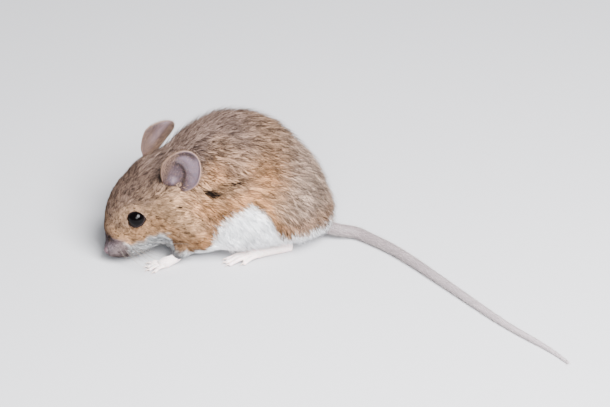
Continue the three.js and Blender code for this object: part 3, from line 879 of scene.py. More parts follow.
def addLid(side):
    back, up = eyeAcross(side)
    spots = lidPlan["spots"]
    rounds = np.linspace(0, 2 * math.pi, spots, endpoint=False)
    turns = np.radians(lidTurn(rounds))
    outward = back[None] * np.cos(rounds)[:, None] + up[None] * np.sin(rounds)[:, None]
    off = np.degrees(np.arccos(np.cos(rounds - math.radians(lidPlan["corner"]))))
    corner = 0.6 * hill((off, 0, 13))
    points = []
    for wider, higher in lidSection:
        turn = turns + math.radians(wider)
        ray = eyeAxis(side)[None] * np.cos(turn)[:, None] + outward * np.sin(turn)[:, None]
        height = higher + corner * float(smooth(0, 8, wider)) * (higher > 0)
        points.append(eyeCentre(side) + ray * (eyePlan["radius"] + height)[:, None])
    points = np.concatenate(points)
    faces = []
    for row in range(len(lidSection)):
        below = (row + 1) % len(lidSection) * spots
        for spot in range(spots):
            after = (spot + 1) % spots
            faces.append((row * spots + spot, row * spots + after, below + after, below + spot))
    lid = addPiece("lid" + sideWords[side], points, faces)
    editAll(lid, facesOut)
    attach(lid, "root")
    return lid


lids = [addLid(1), addLid(-1)]

# Ears are thin cupped shells with a rolled rim, a fold and a lump inside. Their places and ways are in the
# head's own measures.
earPlan = {
    "length": 13.8, "width": 10.8, "middle": 0.52, "cup": 0.055, "thick": 0.17, "rim": 0.2, "rimCurl": 0.36,
    "base": {1: (-0.12, 8.65, 2.46), -1: (-0.22, -10.19, 3.14)},
    "lean": {1: (-0.829, 0.285, 0.482), -1: (-0.971, -0.116, 0.211)},
    "opens": {1: (0.066, 0.893, 0.445), -1: (-0.215, -0.829, 0.517)},
    "turns": 96, "bands": 26, "crowding": 1.25,
}
earHair = {
    "hairs": 5600, "length": 0.8, "width": 0.036, "lift": 0.12,
    "marks": {"grey": 0.5, "warm": 0.3, "crown": 0.35, "muzzle": 0.2, "guard": 0.1},
}


def earFrame(side):
    tipward = unit(headWay(*earPlan["lean"][side]))
    inward = headWay(*earPlan["opens"][side])
    inward = unit(inward - tipward * (inward @ tipward))
    base = headPoint(*earPlan["base"][side])
    return base, tipward, inward, np.cross(tipward, inward)


# Middle surface of an ear by the angle round it and the share of the way out to its rim. It also gives how
# far a point lies up the ear (low) and towards its front edge (aside), as shares.
def earSurface(side, angle, share):
    base, tipward, inward, across = earFrame(side)
    length, front = earPlan["length"], -side
    edge = (1 - np.cos(angle)) / 2
    narrow = 0.62 + 0.38 * np.minimum(edge / 0.55, 1) ** 0.8
    over = earPlan["width"] / 2 * narrow * np.sin(angle) * share
    middle = earPlan["middle"] * length
    along = middle + (edge * length - middle) * share
    curl = earPlan["cup"] * over**2 * (1.7 - 0.95 * along / length) - 0.012 * (along - middle) ** 2
    low, aside = along / length, over * front / (earPlan["width"] / 2)
    curl += earPlan["rimCurl"] * smooth(0.88, 1.0, share) * smooth(0.12, 0.3, low)
    point = base + np.multiply.outer(along, tipward) + np.multiply.outer(over, across)
    return point + np.multiply.outer(curl, inward), low, aside


# A curved fold runs round the opening: 1 on its line, less inside it.
def earArc(low, aside):
    return np.hypot((13.8 * low - 4.5) / 4.9, (5.4 * aside - 1.6) / 4.1)


# Relief of the inside only: a lump over the opening, the folds and faint creases across.
def earRelief(low, aside, share):
    lump = 1.1 * hill((low, 0.25, 0.09), (aside, 0.12, 0.22))
    ridge = 0.5 * hill((earArc(low, aside), 1, 0.12)) * smooth(0.2, 0.34, low) * fade(0.4, 0.7, aside)
    front = 0.5 * hill((aside - 0.5, 0.45 * low, 0.13)) * smooth(0.1, 0.2, low) * fade(0.55, 0.75, low)
    crease = 0.07 * np.sin(low * 34 + aside * 3) * smooth(0.3, 0.45, low) * fade(0.6, 0.8, low)
    return lump + ridge + front + crease * (1 - share**3)


# Painted light and shade of an ear from its own measures: painted shade in dark bands and folds and deep at
# its root, and painted light on pale places and the lump. The back has its own painted shade and highlight.
def earLightAndShade(low, aside, share, inside):
    arc = earArc(low, aside)
    band = hill((share, 0.84, 0.1)) * smooth(-0.45, -0.05, aside) * smooth(0.55, 0.72, low)
    fold = 0.85 * hill((arc, 0.9, 0.17)) * smooth(0.15, 0.3, low) * fade(0.5, 0.7, aside)
    deep = 0.9 * hill((low, 0.13, 0.09)) * fade(-0.1, 0.15, aside)
    front = 0.6 * smooth(-0.1, 0.1, aside - 0.35 - 0.5 * low)
    dark = np.maximum.reduce([band, fold, deep, front])
    lump = hill((low, 0.24, 0.1), (aside, 0.12, 0.2))
    lit = np.maximum(0.75 * smooth(1.12, 1.35, arc) * (1 - dark), lump)
    backPaintedShade = np.maximum(0.8 * fade(0.05, 0.3, aside), 0.45 * smooth(0.65, 0.85, aside))
    backLit = 0.9 * hill((aside, 0.46, 0.17)) * smooth(0.3, 0.5, low)
    return mixed(backPaintedShade, dark, inside), mixed(backLit, lit, inside)


def addEar(side):
    turns, bands = earPlan["turns"], earPlan["bands"]
    angles = 2 * math.pi * np.arange(turns) / turns
    shares = 1 - (1 - np.arange(1, bands + 1) / bands) ** earPlan["crowding"]
    angle, share = np.meshgrid(angles, shares)
    surface, low, aside = earSurface(side, angle, share)
    onward = earSurface(side, angle + 0.01, share)[0] - earSurface(side, angle - 0.01, share)[0]
    outward = earSurface(side, angle, share + 0.004)[0] - earSurface(side, angle, share - 0.004)[0]
    normal = unit(np.cross(onward, outward))
    inward = earFrame(side)[2]
    normal *= np.sign(normal @ inward)[..., None]
    thick = mixed(earPlan["thick"], earPlan["rim"], smooth(0.84, 0.97, share))
    thick = thick * np.sqrt(np.clip((1.03 - share) / 0.05, 0.25, 1))
    centre = earSurface(side, np.zeros(1), np.zeros(1))[0][0]
    inner = surface + normal * (thick + earRelief(low, aside, share))[..., None]
    outer = (surface - normal * thick[..., None])[::-1]
    wall = inward * earPlan["thick"]
    points = np.concatenate([[centre + wall], inner.reshape(-1, 3), outer.reshape(-1, 3), [centre - wall]])
    ear = addPiece("ear" + sideWords[side], points, ringFaces(2 * bands, turns))
    editAll(ear, facesOut)
    lows, asides, edges = (
        np.concatenate([[ends], values.ravel(), values[::-1].ravel(), [ends]])
        for ends, values in ((low.mean(), low), (0, aside), (0, share)))
    inside = np.repeat([1.0, 0.0], 1 + low.size)
    shaded, lit = earLightAndShade(lows, asides, edges, inside)
    addMarks(ear.data, {"edge": edges, "shaded": shaded, "lit": lit})
    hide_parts("ear_left" if side > 0 else "ear_right")
    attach(ear, "root")
    return ear


ears = [addEar(1), addEar(-1)]
earHairs = []
for side, ear in zip((1, -1), ears):
    base, tipward, inward, across = earFrame(side)

    def earCrowd(points, normals):
        low = (points - base) @ tipward / earPlan["length"]
        aside = (points - base) @ across * -side / (earPlan["width"] / 2)
        inner = 0.12 + 1.6 * smooth(0.35, 0.85, aside) + 0.3 * fade(0.15, 0.35, low)
        return np.where((normals @ inward) > 0, inner, 0.55 + 0.9 * fade(0.1, 0.8, low))

    def earWay(points):
        aside = (points - base) @ across
        return np.tile(tipward, (len(points), 1)) + np.multiply.outer(0.08 * aside, across)

    def earPlace(points):
        return (points - base) @ tipward, (points - base) @ across

    earHairs.append(addShortHairs("earHair" + sideWords[side], ear, earCrowd, earWay, earPlace, earHair))
print("ears: done")


# A foot is made in its own frame, forward from the heel or wrist, with the inner toe to its left. A tube is
# its path, its radii and how flat it is, and a toe its root and tip.
footPlan = {
    "hind": {
        "heel": (19.2, 7.1), "splay": 22.5, "toeThick": 0.7,
        "toes": (
            ((9.8, 0.9, 1.35), (13.6, 1.9, 0.5)),
            ((11.6, 0.75, 1.55), (18.1, 1.7, 0.5)),
            ((12.0, 0.1, 1.6), (18.8, 0.3, 0.5)),
            ((11.8, -0.65, 1.55), (18.4, -1.1, 0.5)),
            ((10.0, -1.0, 1.35), (14.6, -2.2, 0.5)),
        ),
        "tubes": (
            (
                ((-0.1, 0, 1.3), (4, 0, 1.35), (8, 0, 1.55), (12, 0, 1.6)),
                (1.5, 1.5, 1.4, 1.45, 1.65, 1.2), 0.95,
            ),
            (
                ((0.2, 0, 1.5), (2.6, -0.3, 5.0), (5.6, -0.7, 8.2), (8.5, -0.9, 10.5)),
                (1.2, 1.35, 2.0, 2.8), 1.0,
            ),
        ),
    },
    "fore": {
        "splay": {1: 22.0, -1: 6.0}, "toeThick": 0.58,
        "toes": (
            ((3.2, 1.05, 0.85), (6.0, 2.3, 0.42)),
            ((3.9, 0.42, 0.9), (7.1, 0.9, 0.42)),
            ((3.9, -0.38, 0.9), (7.2, -0.6, 0.42)),
            ((3.2, -1.0, 0.85), (6.2, -2.1, 0.42)),
        ),
        "tubes": (
            (
                ((-3.4, 0, 4.3), (-0.6, 0, 2.0), (1.6, 0, 1.35), (3.9, 0, 0.95)),
                (1.5, 1.4, 1.4, 1.7, 1.22), 0.9,
            ),
        ),
    },
    "voxel": 0.15, "softenings": 5, "toeLift": 0.42, "tubeSteps": 20, "tubeSides": 20, "toeSteps": 16,
    "toeSides": 14, "toeFlat": 0.92,
}
clawPlan = {"length": 1.25, "thick": 0.2, "steps": 10, "sides": 10, "high": 1.25}


def footPlacer(side, place, splay):
    turn = turned("Z", 180 + splay * side)
    mirror = np.array([1, -side, 1])

    def placed(points):
        return (np.asarray(points, float) * mirror) @ turn.T + np.array([place[0], place[1], 0])
    return placed


def toePath(root, tip):
    lift = footPlan["toeLift"]
    middle = root + (tip - root) * 0.5 + np.array([0, 0, lift])
    before = root + (tip - root) * 0.8 + np.array([0, 0, lift * 0.45])
    return curveThrough([root, middle, before, tip], footPlan["toeSteps"])


# A toe swells at its knuckle and at its pad.
def toeRadii(thick):
    share = np.linspace(0, 1, footPlan["toeSteps"])
    knuckle = 0.1 * hill((share, 0.45, 0.12)) + 0.16 * hill((share, 0.88, 0.1))
    return thick * (0.92 - 0.16 * share + knuckle) * np.where(share > 0.97, 0.8, 1)


# A claw: a curved, pointed cone that leaves the toe's tip high and ends just over the floor.
def addClaw(placed, root, tip):
    ahead = unit((tip - root) * [1, 1, 0])
    start = tip + [0, 0, 0.16] - ahead * 0.1
    bend = tip + [0, 0, 0.26] + ahead * clawPlan["length"] * 0.5
    end = tip * [1, 1, 0] + [0, 0, 0.16] + ahead * clawPlan["length"]
    path = curveThrough([start, bend, end], clawPlan["steps"])
    radii = clawPlan["thick"] * (1 - np.linspace(0, 1, clawPlan["steps"]) ** 1.4 * 0.88)
    return addTube("claw", placed(path), radii, clawPlan["sides"], clawPlan["high"])


hornPieces = []


def makeFoot(name, placed, plan, node):
    steps = footPlan["tubeSteps"]
    parts = []
    for path, radii, flat in plan["tubes"]:
        grown = np.interp(np.linspace(0, 1, steps), np.linspace(0, 1, len(radii)), radii)
        parts.append(addTube("part", placed(curveThrough(path, steps)), grown, footPlan["tubeSides"], flat))
    for root, tip in plan["toes"]:
        root, tip = np.array(root, float), np.array(tip, float)
        toe, swelling = placed(toePath(root, tip)), toeRadii(plan["toeThick"])
        parts.append(addTube("part", toe, swelling, footPlan["toeSides"], footPlan["toeFlat"]))
        hornPieces.append(addClaw(placed, root, tip))
    foot = joined(name, parts)
    remeshed(foot, footPlan["voxel"])
    smoothed(foot, footPlan["softenings"])
    settle(foot)
    foot.data.shade_smooth()
    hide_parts(node)
    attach(foot, "root")
    return foot


feet, placers = [], []
for side, word in sideWords.items():
    plan = footPlan["hind"]
    placed = footPlacer(side, (plan["heel"][0], -plan["heel"][1] * side), plan["splay"])
    feet.append(makeFoot("hindFoot" + word, placed, plan, f"hind_foot_{word.lower()}"))
    placers.append((placed, "hind", side))
    plan = footPlan["fore"]
    placed = footPlacer(side, wrists[side], plan["splay"][side])
    feet.append(makeFoot("forepaw" + word, placed, plan, f"forepaw_{word.lower()}"))
    placers.append((placed, "fore", side))
claws = joined("claws", hornPieces)
claws.data.shade_smooth()
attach(claws, "root")

footHair = {
    "hind": {"hairs": 3600, "length": 0.5, "width": 0.036, "lift": 0.04, "end": 11, "marks": {"white": 1.0}},
    "fore": {"hairs": 2200, "length": 0.4, "width": 0.036, "lift": 0.04, "end": 3.5, "marks": {"white": 1.0}},
}
footHairs = []
for foot, (placed, word, side) in zip(feet, placers):
    origin, front = placed([(0, 0, 0)])[0], placed([(1, 0, 0)])[0]
    ahead = front - origin
    aside = np.cross([0, 0, 1], ahead)
    kind = footHair[word]

    def footCrowd(points, normals):
        run = (points - origin) @ ahead
        return smooth(-0.35, 0.4, normals[:, 2]) * (1 - 0.65 * smooth(kind["end"], kind["end"] + 6, run))

    def footWay(points):
        return np.tile(ahead + [0, 0, -0.12], (len(points), 1))

    def footPlace(points):
        return (points - origin) @ ahead, (points - origin) @ aside

    name = word + "FootHair" + sideWords[side]
    footHairs.append(addShortHairs(name, foot, footCrowd, footWay, footPlace, kind))
print("feet: faces", sum(len(foot.data.polygons) for foot in feet))


# The nose is a bare lobed tip with a wing on each side, a lip, two comma-shaped nostrils and a groove.
wingForward, wingLeft, wingUp = nosePlan["wing"]
lobePlaces = (
    ((nosePlan["forward"], 0, nosePlan["up"]), nosePlan["radii"]),
    ((wingForward, wingLeft, wingUp), nosePlan["wingRadii"]),
    ((wingForward, -wingLeft, wingUp), nosePlan["wingRadii"]),
    (nosePlan["lip"], nosePlan["lipRadii"]),
)
headAxes = Matrix((headTurn @ np.diag([-1, -1, 1])).tolist()).to_4x4()
lobes = []
for place, radii in lobePlaces:
    bpy.ops.object.select_all(action="DESELECT")
    bpy.ops.mesh.primitive_uv_sphere_add(segments=32, ring_count=20, radius=1)
    lobe = bpy.context.object
    size = Matrix.Diagonal((*[value * mm for value in radii], 1))
    lobe.data.transform(Matrix.Translation(Vector(toFrame(headPoint(*place)))) @ headAxes @ size)
    lobes.append(lobe)
nose = joined("noseTip", lobes)
editAll(nose, facesOut)
remeshed(nose, nosePlan["voxel"])
smoothed(nose, nosePlan["softenings"])
points = pointsOf(nose)
forward, left, up = inHead(points).T
inset = nosePlan["groove"] * hill((left, 0, 0.1)) * fade(-4.3, -3.8, up)
for side in (1, -1):
    hole = np.sqrt(((left * side - 0.86) / 0.26) ** 2 + ((up + 4.2) / 0.2) ** 2)
    slit = np.sqrt(((left * side - 1.08) / 0.22) ** 2 + ((up + 3.98) / 0.1) ** 2)
    nostril = nosePlan["nostril"] * fade(0.3, 1.15, np.minimum(hole, slit)) * smooth(22.5, 22.9, forward)
    inset = inset + nostril
setPoints(nose, points - normalsOf(nose) * inset[:, None])
# The hollow mark carries painted shade into the nostrils and the groove.
addMarks(nose.data, {"hollow": np.clip(inset / 0.3, 0, 1)})
nose.data.shade_smooth()
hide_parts("nose")
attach(nose, "root")

# The tail is one tapering length with fine rings, laid on the floor. It starts inside the fur.
tailPlan = {
    "radii": (1.75, 1.5, 1.35, 1.2, 1.05, 0.9, 0.72, 0.36), "rootHeight": 3.9, "settle": 14, "ring": 0.62,
    "ringDeep": 0.045, "sides": 28, "rootThick": 1.12, "evenings": 3,
    "inFur": ((23.5, -1.2, 8.2), (26.5, -1.3, 5.4)), "furSteps": 9,
    "way": (
        (29.2, -1.4), (32.5, -1.4), (37.7, -1.5), (43, -3.4), (48.1, -8.6), (53.2, -15), (58.1, -22.1),
        (64.3, -28.2), (68.8, -34.9), (73.3, -40.5), (77.7, -45.7), (82.1, -49.8), (86.5, -53.5),
        (89.9, -56.6), (91.6, -60.2),
    ),
}
tailHairKind = {
    "hairs": 6500, "length": 1.25, "width": 0.05, "lift": 0.16,
    "marks": {"white": 0.3, "grey": 0.6, "muzzle": 0.5},
}
way = np.array(tailPlan["way"])
for _ in range(tailPlan["evenings"]):    # takes out small kinks and keeps the root where it is
    way[3:-1] = (way[2:-2] + 2 * way[3:-1] + way[4:]) / 4
flatWay = curveThrough(way, 1200)
travelled = np.concatenate([[0], np.cumsum(np.linalg.norm(np.diff(flatWay, axis=0), axis=1))])
tailLength = travelled[-1]
steps = np.arange(0, tailLength, tailPlan["ring"] / 4)
share = steps / tailLength
radii = np.interp(share, np.linspace(0, 1, len(tailPlan["radii"])), tailPlan["radii"])
lift = (tailPlan["rootHeight"] - tailPlan["radii"][0]) * np.clip(1 - steps / tailPlan["settle"], 0, 1) ** 2
centre = np.column_stack([np.interp(steps, travelled, flatWay[:, k]) for k in (0, 1)] + [radii + lift])
furSteps = tailPlan["furSteps"]
inFur = curveThrough([*tailPlan["inFur"], tuple(centre[0])], furSteps + 1)[:-1]
centre = np.vstack([inFur, centre])
inRing = np.modf(np.concatenate([np.zeros(furSteps), steps]) / tailPlan["ring"])[0]
saw = tailPlan["ringDeep"] * (0.5 - inRing)
radii = np.concatenate([np.full(furSteps, tailPlan["radii"][0] * tailPlan["rootThick"]), radii])
tail = addTube("tail", centre, radii * (1 + saw), tailPlan["sides"])
settle(tail)


# Spreads a value for each step of the tail over that step's points.
def alongTail(values, start, end):
    return np.concatenate([[start], np.repeat(values, tailPlan["sides"]), [end]])


addMarks(tail.data, {
    "ring": alongTail(inRing, 0.0, 0.0),
    "along": alongTail(np.linspace(0, 1, len(centre)), 0.0, 1.0),
})
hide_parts("tail_1", "tail_2", "tail_3", "tail_4")
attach(tail, "root")
tailTangent = unit(np.gradient(centre, axis=0))
tailTree = kdtree.KDTree(len(centre))
for place, spot in enumerate(centre):
    tailTree.insert(Vector(spot), place)
tailTree.balance()


def tailSpot(points):
    return np.array([tailTree.find(Vector(point))[1] for point in points])


def tailCrowd(points, normals):
    return (points[:, 2] > 0.25) * 1.0


def tailWay(points):
    return tailTangent[tailSpot(points)]


def tailPlace(points):
    spots = tailSpot(points)
    return spots.astype(float), np.arctan2(points[:, 1] - centre[spots, 1], points[:, 2])


tailHair = addShortHairs("tailHair", tail, tailCrowd, tailWay, tailPlace, tailHairKind)
print("tail: length", round(tailLength, 1))

# Whiskers are tapering curved hairs in rows on each side of the snout. The pad is where the first one grows,
# in the head's own measures.
whiskerPlan = {
    "pad": (20.2, 4.4, -3.2), "columnBack": 0.95, "columnDrop": 0.12, "rowDrop": 0.8,
    "rows": 5, "columns": 5, "longest": 20.0, "shortest": 6.5, "thick": 0.042, "taper": 0.86, "steps": 14,
    "sides": 5, "sunk": 0.15, "lengths": (0.8, 1.08), "stray": 0.09, "bendStray": 0.05,
}


# The path of a whisker, which eases along the floor where it would reach below it.
def whiskerPath(root, way, bend, length):
    t = np.linspace(0, 1, whiskerPlan["steps"])[:, None]
    path = root + way * length * t + bend * length * t**2
    low = 0.35 + 0.25 * (1 - t[:, 0])
    eased = low + np.exp(np.minimum(path[:, 2] - low - 1, 0))
    path[:, 2] = np.where(path[:, 2] < low + 1, eased, path[:, 2])
    return path


def addWhisker(side, row, column):
    forward, out, up = whiskerPlan["pad"]
    up = up - whiskerPlan["rowDrop"] * row - whiskerPlan["columnDrop"] * column
    spot = headPoint(forward - whiskerPlan["columnBack"] * column, out * side, up)
    root, normal = (values[0] for values in nearestSkin([spot]))
    reach = column / (whiskerPlan["columns"] - 1)
    length = mixed(whiskerPlan["shortest"], whiskerPlan["longest"], reach)
    length *= dice.uniform(*whiskerPlan["lengths"]) * (1 - 0.08 * row)
    ahead = headWay(0.3 - 0.6 * reach, side, -0.1 - 0.16 * row)
    way = unit(ahead + dice.normal(0, whiskerPlan["stray"], 3))
    bend = headWay(-0.2, -0.12 * side, -0.3) + dice.normal(0, whiskerPlan["bendStray"], 3)
    narrowing = 1 - whiskerPlan["taper"] * np.linspace(0, 1, whiskerPlan["steps"])
    radii = whiskerPlan["thick"] * (0.7 + 0.45 * reach) * narrowing
    path = whiskerPath(root - normal * whiskerPlan["sunk"], way, bend, length)
    return addTube("whisker", path, radii, whiskerPlan["sides"])


whiskers = [
    addWhisker(side, row, column)
    for side in (1, -1) for row in range(whiskerPlan["rows"]) for column in range(whiskerPlan["columns"])
]
whisker = joined("whiskers", whiskers)
number, columns = len(whiskers), whiskerPlan["columns"]
alongSteps = np.repeat(np.linspace(0, 1, whiskerPlan["steps"]), whiskerPlan["sides"])
alongEach = np.concatenate([[0], alongSteps, [1]])
addMarks(whisker.data, {"along": np.tile(alongEach, number)})
layer = whisker.data.uv_layers.new(name="OFBake")
owner, place = np.divmod(np.array([loop.vertex_index for loop in whisker.data.loops]), len(alongEach))
mapAcross = 0.02 + 0.95 * (owner // columns) / 9 + 0.003 * (place % 5) / 5
mapAlong = 0.02 + 0.95 * (owner % columns) / 4 + 0.003 * alongEach[place]
layer.data.foreach_set("uv", np.column_stack([mapAcross, mapAlong]).ravel())
whisker.data.shade_smooth()
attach(whisker, "root")
print("whiskers:", number)


# Colours are given as a screen shows them, 0 to 255, and are turned into linear light for the shaders.
def linear(red, green, blue):
    return tuple(
        value / 12.92 if value <= 0.04045 else ((value + 0.055) / 1.055) ** 2.4
        for value in (red / 255, green / 255, blue / 255)
    ) + (1.0,)


def newGroup(name, inputs, outputs):
    group = bpy.data.node_groups.new(name, "ShaderNodeTree")
    for label, kind, value in inputs:
        made = group.interface.new_socket(label, in_out="INPUT", socket_type=kind)
        made.default_value = value
    for label, kind in outputs:
        group.interface.new_socket(label, in_out="OUTPUT", socket_type=kind)
    return group, group.nodes.new("NodeGroupInput"), group.nodes.new("NodeGroupOutput")


# Each value is another node's output, or a number or colour.
def feed(graph, sockets, values):
    for socket, value in zip(sockets, values):
        if isinstance(value, bpy.types.NodeSocket):
            graph.links.new(value, socket)
        else:
            socket.default_value = value


def blendColour(graph, factor, first, second):
    node = graph.nodes.new("ShaderNodeMix")
    node.data_type = "RGBA"
    feed(graph, (node.inputs["Factor"], node.inputs["A"], node.inputs["B"]), (factor, first, second))
    return node.outputs["Result"]


def maths(graph, way, *values):
    node = graph.nodes.new("ShaderNodeMath")
    node.operation = way
    feed(graph, node.inputs, values)
    return node.outputs[0]


def product(graph, first, second):
    return maths(graph, "MULTIPLY", first, second)


# The coat's colours, and how strongly each mark brings its own in.
coatColours = {
    "tawny": (190, 152, 118), "warm": (194, 144, 102), "rump": (194, 170, 154),
    "grey": (118, 98, 89), "crown": (102, 83, 73), "tick": (32, 25, 22), "white": (250, 251, 253),
    "whiteShade": (168, 172, 186), "muzzle": (94, 84, 91), "under": (86, 80, 82),
}
coatMixes = {
    "rump": 0.8, "tipRise": 1.8, "tip": 0.82, "root": 0.62, "rootFall": 1.5, "muzzle": 0.88, "paleRoot": 0.7,
    "dim": 0.12, "bright": 1.7,
}
markNames = ("White", "Grey", "Warm", "Crown", "Muzzle", "Rump")
coatColour, given, made = newGroup(
    "CoatColour",
    [(name, "NodeSocketFloat", 0.0) for name in markNames]
    + [(name, "NodeSocketFloat", 0.5) for name in ("Tone", "Along")] + [("Guard", "NodeSocketFloat", 0.0)],
    [("Color", "NodeSocketColor")],
)
mark = given.outputs
colour = {name: linear(*value) for name, value in coatColours.items()}


def blended(factor, first, second):
    return blendColour(coatColour, factor, first, second)


def times(socket, number):
    return product(coatColour, socket, number)


base = blended(times(mark["Rump"], coatMixes["rump"]), colour["tawny"], colour["rump"])
for name in ("Warm", "Grey", "Crown"):
    base = blended(mark[name], base, colour[name.lower()])
tipDark = times(mark["Guard"], maths(coatColour, "MINIMUM", times(mark["Along"], coatMixes["tipRise"]), 1.0))
base = blended(times(tipDark, coatMixes["tip"]), base, colour["tick"])
rootDark = maths(coatColour, "SUBTRACT", coatMixes["root"], times(mark["Along"], coatMixes["rootFall"]))
rootDark = maths(coatColour, "MAXIMUM", rootDark, 0.0)
base = blended(rootDark, base, colour["under"])
base = blended(times(mark["Muzzle"], coatMixes["muzzle"]), base, colour["muzzle"])
pale = blended(times(rootDark, coatMixes["paleRoot"]), colour["white"], colour["whiteShade"])
base = blended(mark["White"], base, pale)
bright = maths(coatColour, "ADD", coatMixes["dim"], times(mark["Tone"], coatMixes["bright"]))
shadeNode = coatColour.nodes.new("ShaderNodeHueSaturation")
coatColour.links.new(base, shadeNode.inputs["Color"])
coatColour.links.new(bright, shadeNode.inputs["Value"])
coatColour.links.new(shadeNode.outputs["Color"], made.inputs["Color"])


def newMaterial(name, roughness, **settings):
    material = bpy.data.materials.new(name)
    material.use_nodes = True
    shader = material.node_tree.nodes["Principled BSDF"]
    shader.inputs["Roughness"].default_value = roughness
    for label, value in settings.items():
        shader.inputs[label.replace("_", " ")].default_value = value
    return material, material.node_tree, shader


def reading(graph, name):
    node = graph.nodes.new("ShaderNodeAttribute")
    node.attribute_name = name
    return node.outputs["Fac"]


def coatMaterial(name, roughness, readings, **settings):
    material, graph, shader = newMaterial(name, roughness, **settings)
    effect = graph.nodes.new("ShaderNodeGroup")
    effect.node_tree = coatColour
    effect.inputs["Along"].default_value = 0.15    # skin has the colour of the coat near its roots
    for label in readings:
        graph.links.new(reading(graph, label.lower()), effect.inputs[label])
    graph.links.new(effect.outputs["Color"], shader.inputs["Base Color"])
    return material


coatLook = coatMaterial("coatFur", 0.75, (*markNames, "Tone", "Along", "Guard"), Specular_IOR_Level=0.04)
skinLook = coatMaterial("skinUnderCoat", 0.85, markNames, Specular_IOR_Level=0.2)
skin.data.materials.clear()
skin.data.materials.append(skinLook)
for piece in coatPieces + earHairs + footHairs + [tailHair]:
    piece.data.materials.append(coatLook)


# Fine grain of bare skin, as a height for a bump.
grainPlan = {"creaseWide": 0.12, "creaseHigh": 5.0, "fine": 0.6, "distance": 0.00006}
grain, given, made = newGroup(
    "SkinGrain",
    [("Scale", "NodeSocketFloat", 1000.0), ("Creases", "NodeSocketFloat", 0.5)],
    [("Height", "NodeSocketFloat")],
)
place = grain.nodes.new("ShaderNodeTexCoord")
cells = grain.nodes.new("ShaderNodeTexVoronoi")
cells.feature = "DISTANCE_TO_EDGE"
fine = grain.nodes.new("ShaderNodeTexNoise")
for node in (cells, fine):
    grain.links.new(place.outputs["Object"], node.inputs["Vector"])
    grain.links.new(given.outputs["Scale"], node.inputs["Scale"])
creased = maths(grain, "MINIMUM", cells.outputs["Distance"], grainPlan["creaseWide"])
creased = product(grain, product(grain, creased, grainPlan["creaseHigh"]), given.outputs["Creases"])
height = maths(grain, "ADD", creased, product(grain, fine.outputs["Fac"], grainPlan["fine"]))
grain.links.new(height, made.inputs["Height"])


def addGrain(graph, shader, scale, creases, strength):
    effect = graph.nodes.new("ShaderNodeGroup")
    effect.node_tree = grain
    effect.inputs["Scale"].default_value = scale
    effect.inputs["Creases"].default_value = creases
    bump = graph.nodes.new("ShaderNodeBump")
    bump.inputs["Strength"].default_value = strength
    bump.inputs["Distance"].default_value = grainPlan["distance"]
    graph.links.new(effect.outputs["Height"], bump.inputs["Height"])
    graph.links.new(bump.outputs["Normal"], shader.inputs["Normal"])
    return effect.outputs["Height"]


# Bare skin and horn: the grain's hollows have the first colour and its heights the second. A paint function
# may add more, from a piece's own marks.
def bareMaterial(name, roughness, pieces, colours, grainValues, paint=None, **settings):
    material, graph, shader = newMaterial(name, roughness, **settings)
    hollow, high = (linear(*value) for value in colours)
    base = blendColour(graph, addGrain(graph, shader, *grainValues), hollow, high)
    graph.links.new(paint(graph, base) if paint else base, shader.inputs["Base Color"])
    for piece in pieces:
        piece.data.materials.clear()
        piece.data.materials.append(material)


rimPlan = {"from": 0.97, "rise": 30.0, "most": 0.75}    # a pale edge where an ear's share nears 1


# An ear's painted light (lit) and painted shade (shaded) over its grain, then a pale rim.
def earPaint(graph, base):
    base = blendColour(graph, reading(graph, "lit"), base, linear(98, 84, 94))
    base = blendColour(graph, reading(graph, "shaded"), base, linear(38, 26, 26))
    rim = maths(graph, "SUBTRACT", reading(graph, "edge"), rimPlan["from"])
    rim = maths(graph, "MAXIMUM", product(graph, rim, rimPlan["rise"]), 0.0)
    rim = maths(graph, "MINIMUM", rim, rimPlan["most"])
    return blendColour(graph, rim, base, linear(136, 108, 96))


def tailPaint(graph, base):
    seam = maths(graph, "LESS_THAN", reading(graph, "ring"), 0.2)
    base = blendColour(graph, product(graph, seam, 0.45), base, linear(72, 60, 64))
    return blendColour(graph, product(graph, reading(graph, "along"), 0.7), base, linear(178, 168, 174))


# Painted shade: darker where the nose is pressed in, in the nostrils and groove.
def nosePaint(graph, base):
    return blendColour(graph, reading(graph, "hollow"), base, linear(48, 26, 28))


softSkin = {"Subsurface_Weight": 0.15, "Subsurface_Scale": 0.0006}
bareMaterial(
    "earSkin", 0.6, ears, ((46, 35, 39), (74, 59, 65)), (1400, 0.5, 0.6), earPaint, Specular_IOR_Level=0.25,
    **softSkin)
bareMaterial("footSkin", 0.55, feet, ((228, 200, 196), (246, 232, 229)), (1300, 0.7, 0.5), **softSkin)
bareMaterial("tailSkin", 0.55, [tail], ((86, 73, 76), (122, 109, 111)), (1800, 0.6, 0.4), tailPaint)
bareMaterial("noseSkin", 0.42, [nose], ((66, 50, 55), (92, 73, 78)), (7000, 0.6, 0.4), nosePaint)
bareMaterial("lidSkin", 0.5, lids, ((18, 12, 12), (34, 25, 25)), (900, 0.5, 0.5), Specular_IOR_Level=0.12)
bareMaterial("clawHorn", 0.3, [claws], ((206, 182, 172), (232, 214, 204)), (600, 0.1, 0.2))

hairLook, graph, shader = newMaterial("whiskerHair", 0.35, Specular_IOR_Level=0.5)
base = blendColour(graph, reading(graph, "along"), linear(64, 53, 48), linear(176, 166, 158))
graph.links.new(base, shader.inputs["Base Color"])
whisker.data.materials.append(hairLook)


# A material of two close colours in soft clouds.
def cloudyMaterial(name, roughness, specular, scale, first, second):
    material, graph, shader = newMaterial(name, roughness, Specular_IOR_Level=specular)
    cloud = graph.nodes.new("ShaderNodeTexNoise")
    cloud.inputs["Scale"].default_value = scale
    base = blendColour(graph, cloud.outputs["Fac"], linear(*first), linear(*second))
    graph.links.new(base, shader.inputs["Base Color"])
    return material


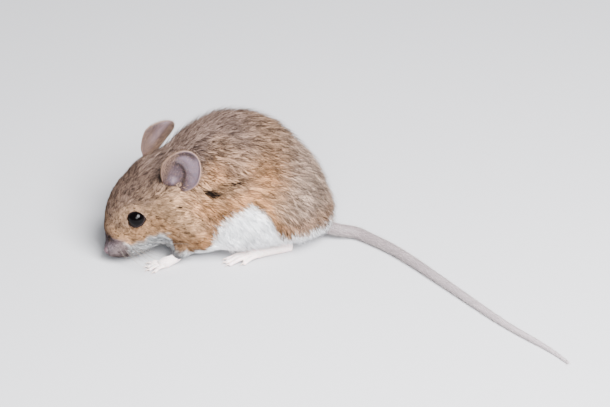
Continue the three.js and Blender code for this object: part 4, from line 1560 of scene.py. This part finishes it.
eyeLook = cloudyMaterial("eyeBlack", 0.05, 0.09, 900, (1, 1, 2), (5, 3, 3))
for eye in eyes:
    eye.data.materials.append(eyeLook)
floorLook = cloudyMaterial("paleFloor", 0.9, 0.1, 3, (182, 182, 186), (188, 188, 191))
floorPlan = {"side": 6000}
bpy.ops.object.select_all(action="DESELECT")
bpy.ops.mesh.primitive_plane_add(size=floorPlan["side"] * mm, location=(0, 0, 0))
floor = bpy.context.object
floor.name = floor.data.name = "floor"
floor.data.materials.append(floorLook)

lightPlan = {
    "key": {"place": (190, -260, 400), "size": 320, "watts": 14.0},
    "fill": {"place": (40, -430, 300), "size": 260, "watts": 3.5},
    "aim": (0, -5, 12), "world": 0.34, "worldColour": (0.93, 0.95, 1, 1),
}


def addLamp(name, plan):
    lamp = bpy.data.objects.new(name, bpy.data.lights.new(name, "AREA"))
    bpy.context.scene.collection.objects.link(lamp)
    lamp.data.shape = "DISK"
    lamp.data.size = plan["size"] * mm
    lamp.data.energy = plan["watts"]
    lamp.location = toFrame(plan["place"])
    lamp.rotation_mode = "QUATERNION"
    aim = np.array(lightPlan["aim"], float) - plan["place"]
    lamp.rotation_quaternion = Vector(aim).to_track_quat("-Z", "Y")
    return lamp


key = addLamp("keyLamp", lightPlan["key"])
fill = addLamp("fillLamp", lightPlan["fill"])
world = bpy.data.worlds.new("studio")
bpy.context.scene.world = world
world.use_nodes = True
background = world.node_tree.nodes["Background"]
background.inputs["Color"].default_value = lightPlan["worldColour"]
background.inputs["Strength"].default_value = lightPlan["world"]

cameraPlan = {
    "place": (23.3, -672.9, 447.6), "tilt": 57, "lens": 172.3, "sensor": 36, "near": 10, "far": 20000,
}
camera = bpy.data.objects.new("camera", bpy.data.cameras.new("camera"))
bpy.context.scene.collection.objects.link(camera)
camera.location = toFrame(cameraPlan["place"])
camera.rotation_euler = (math.radians(cameraPlan["tilt"]), 0, 0)
camera.data.lens = cameraPlan["lens"]
camera.data.sensor_width = cameraPlan["sensor"]
camera.data.clip_start = cameraPlan["near"] * mm
camera.data.clip_end = cameraPlan["far"] * mm
bpy.context.scene.camera = camera
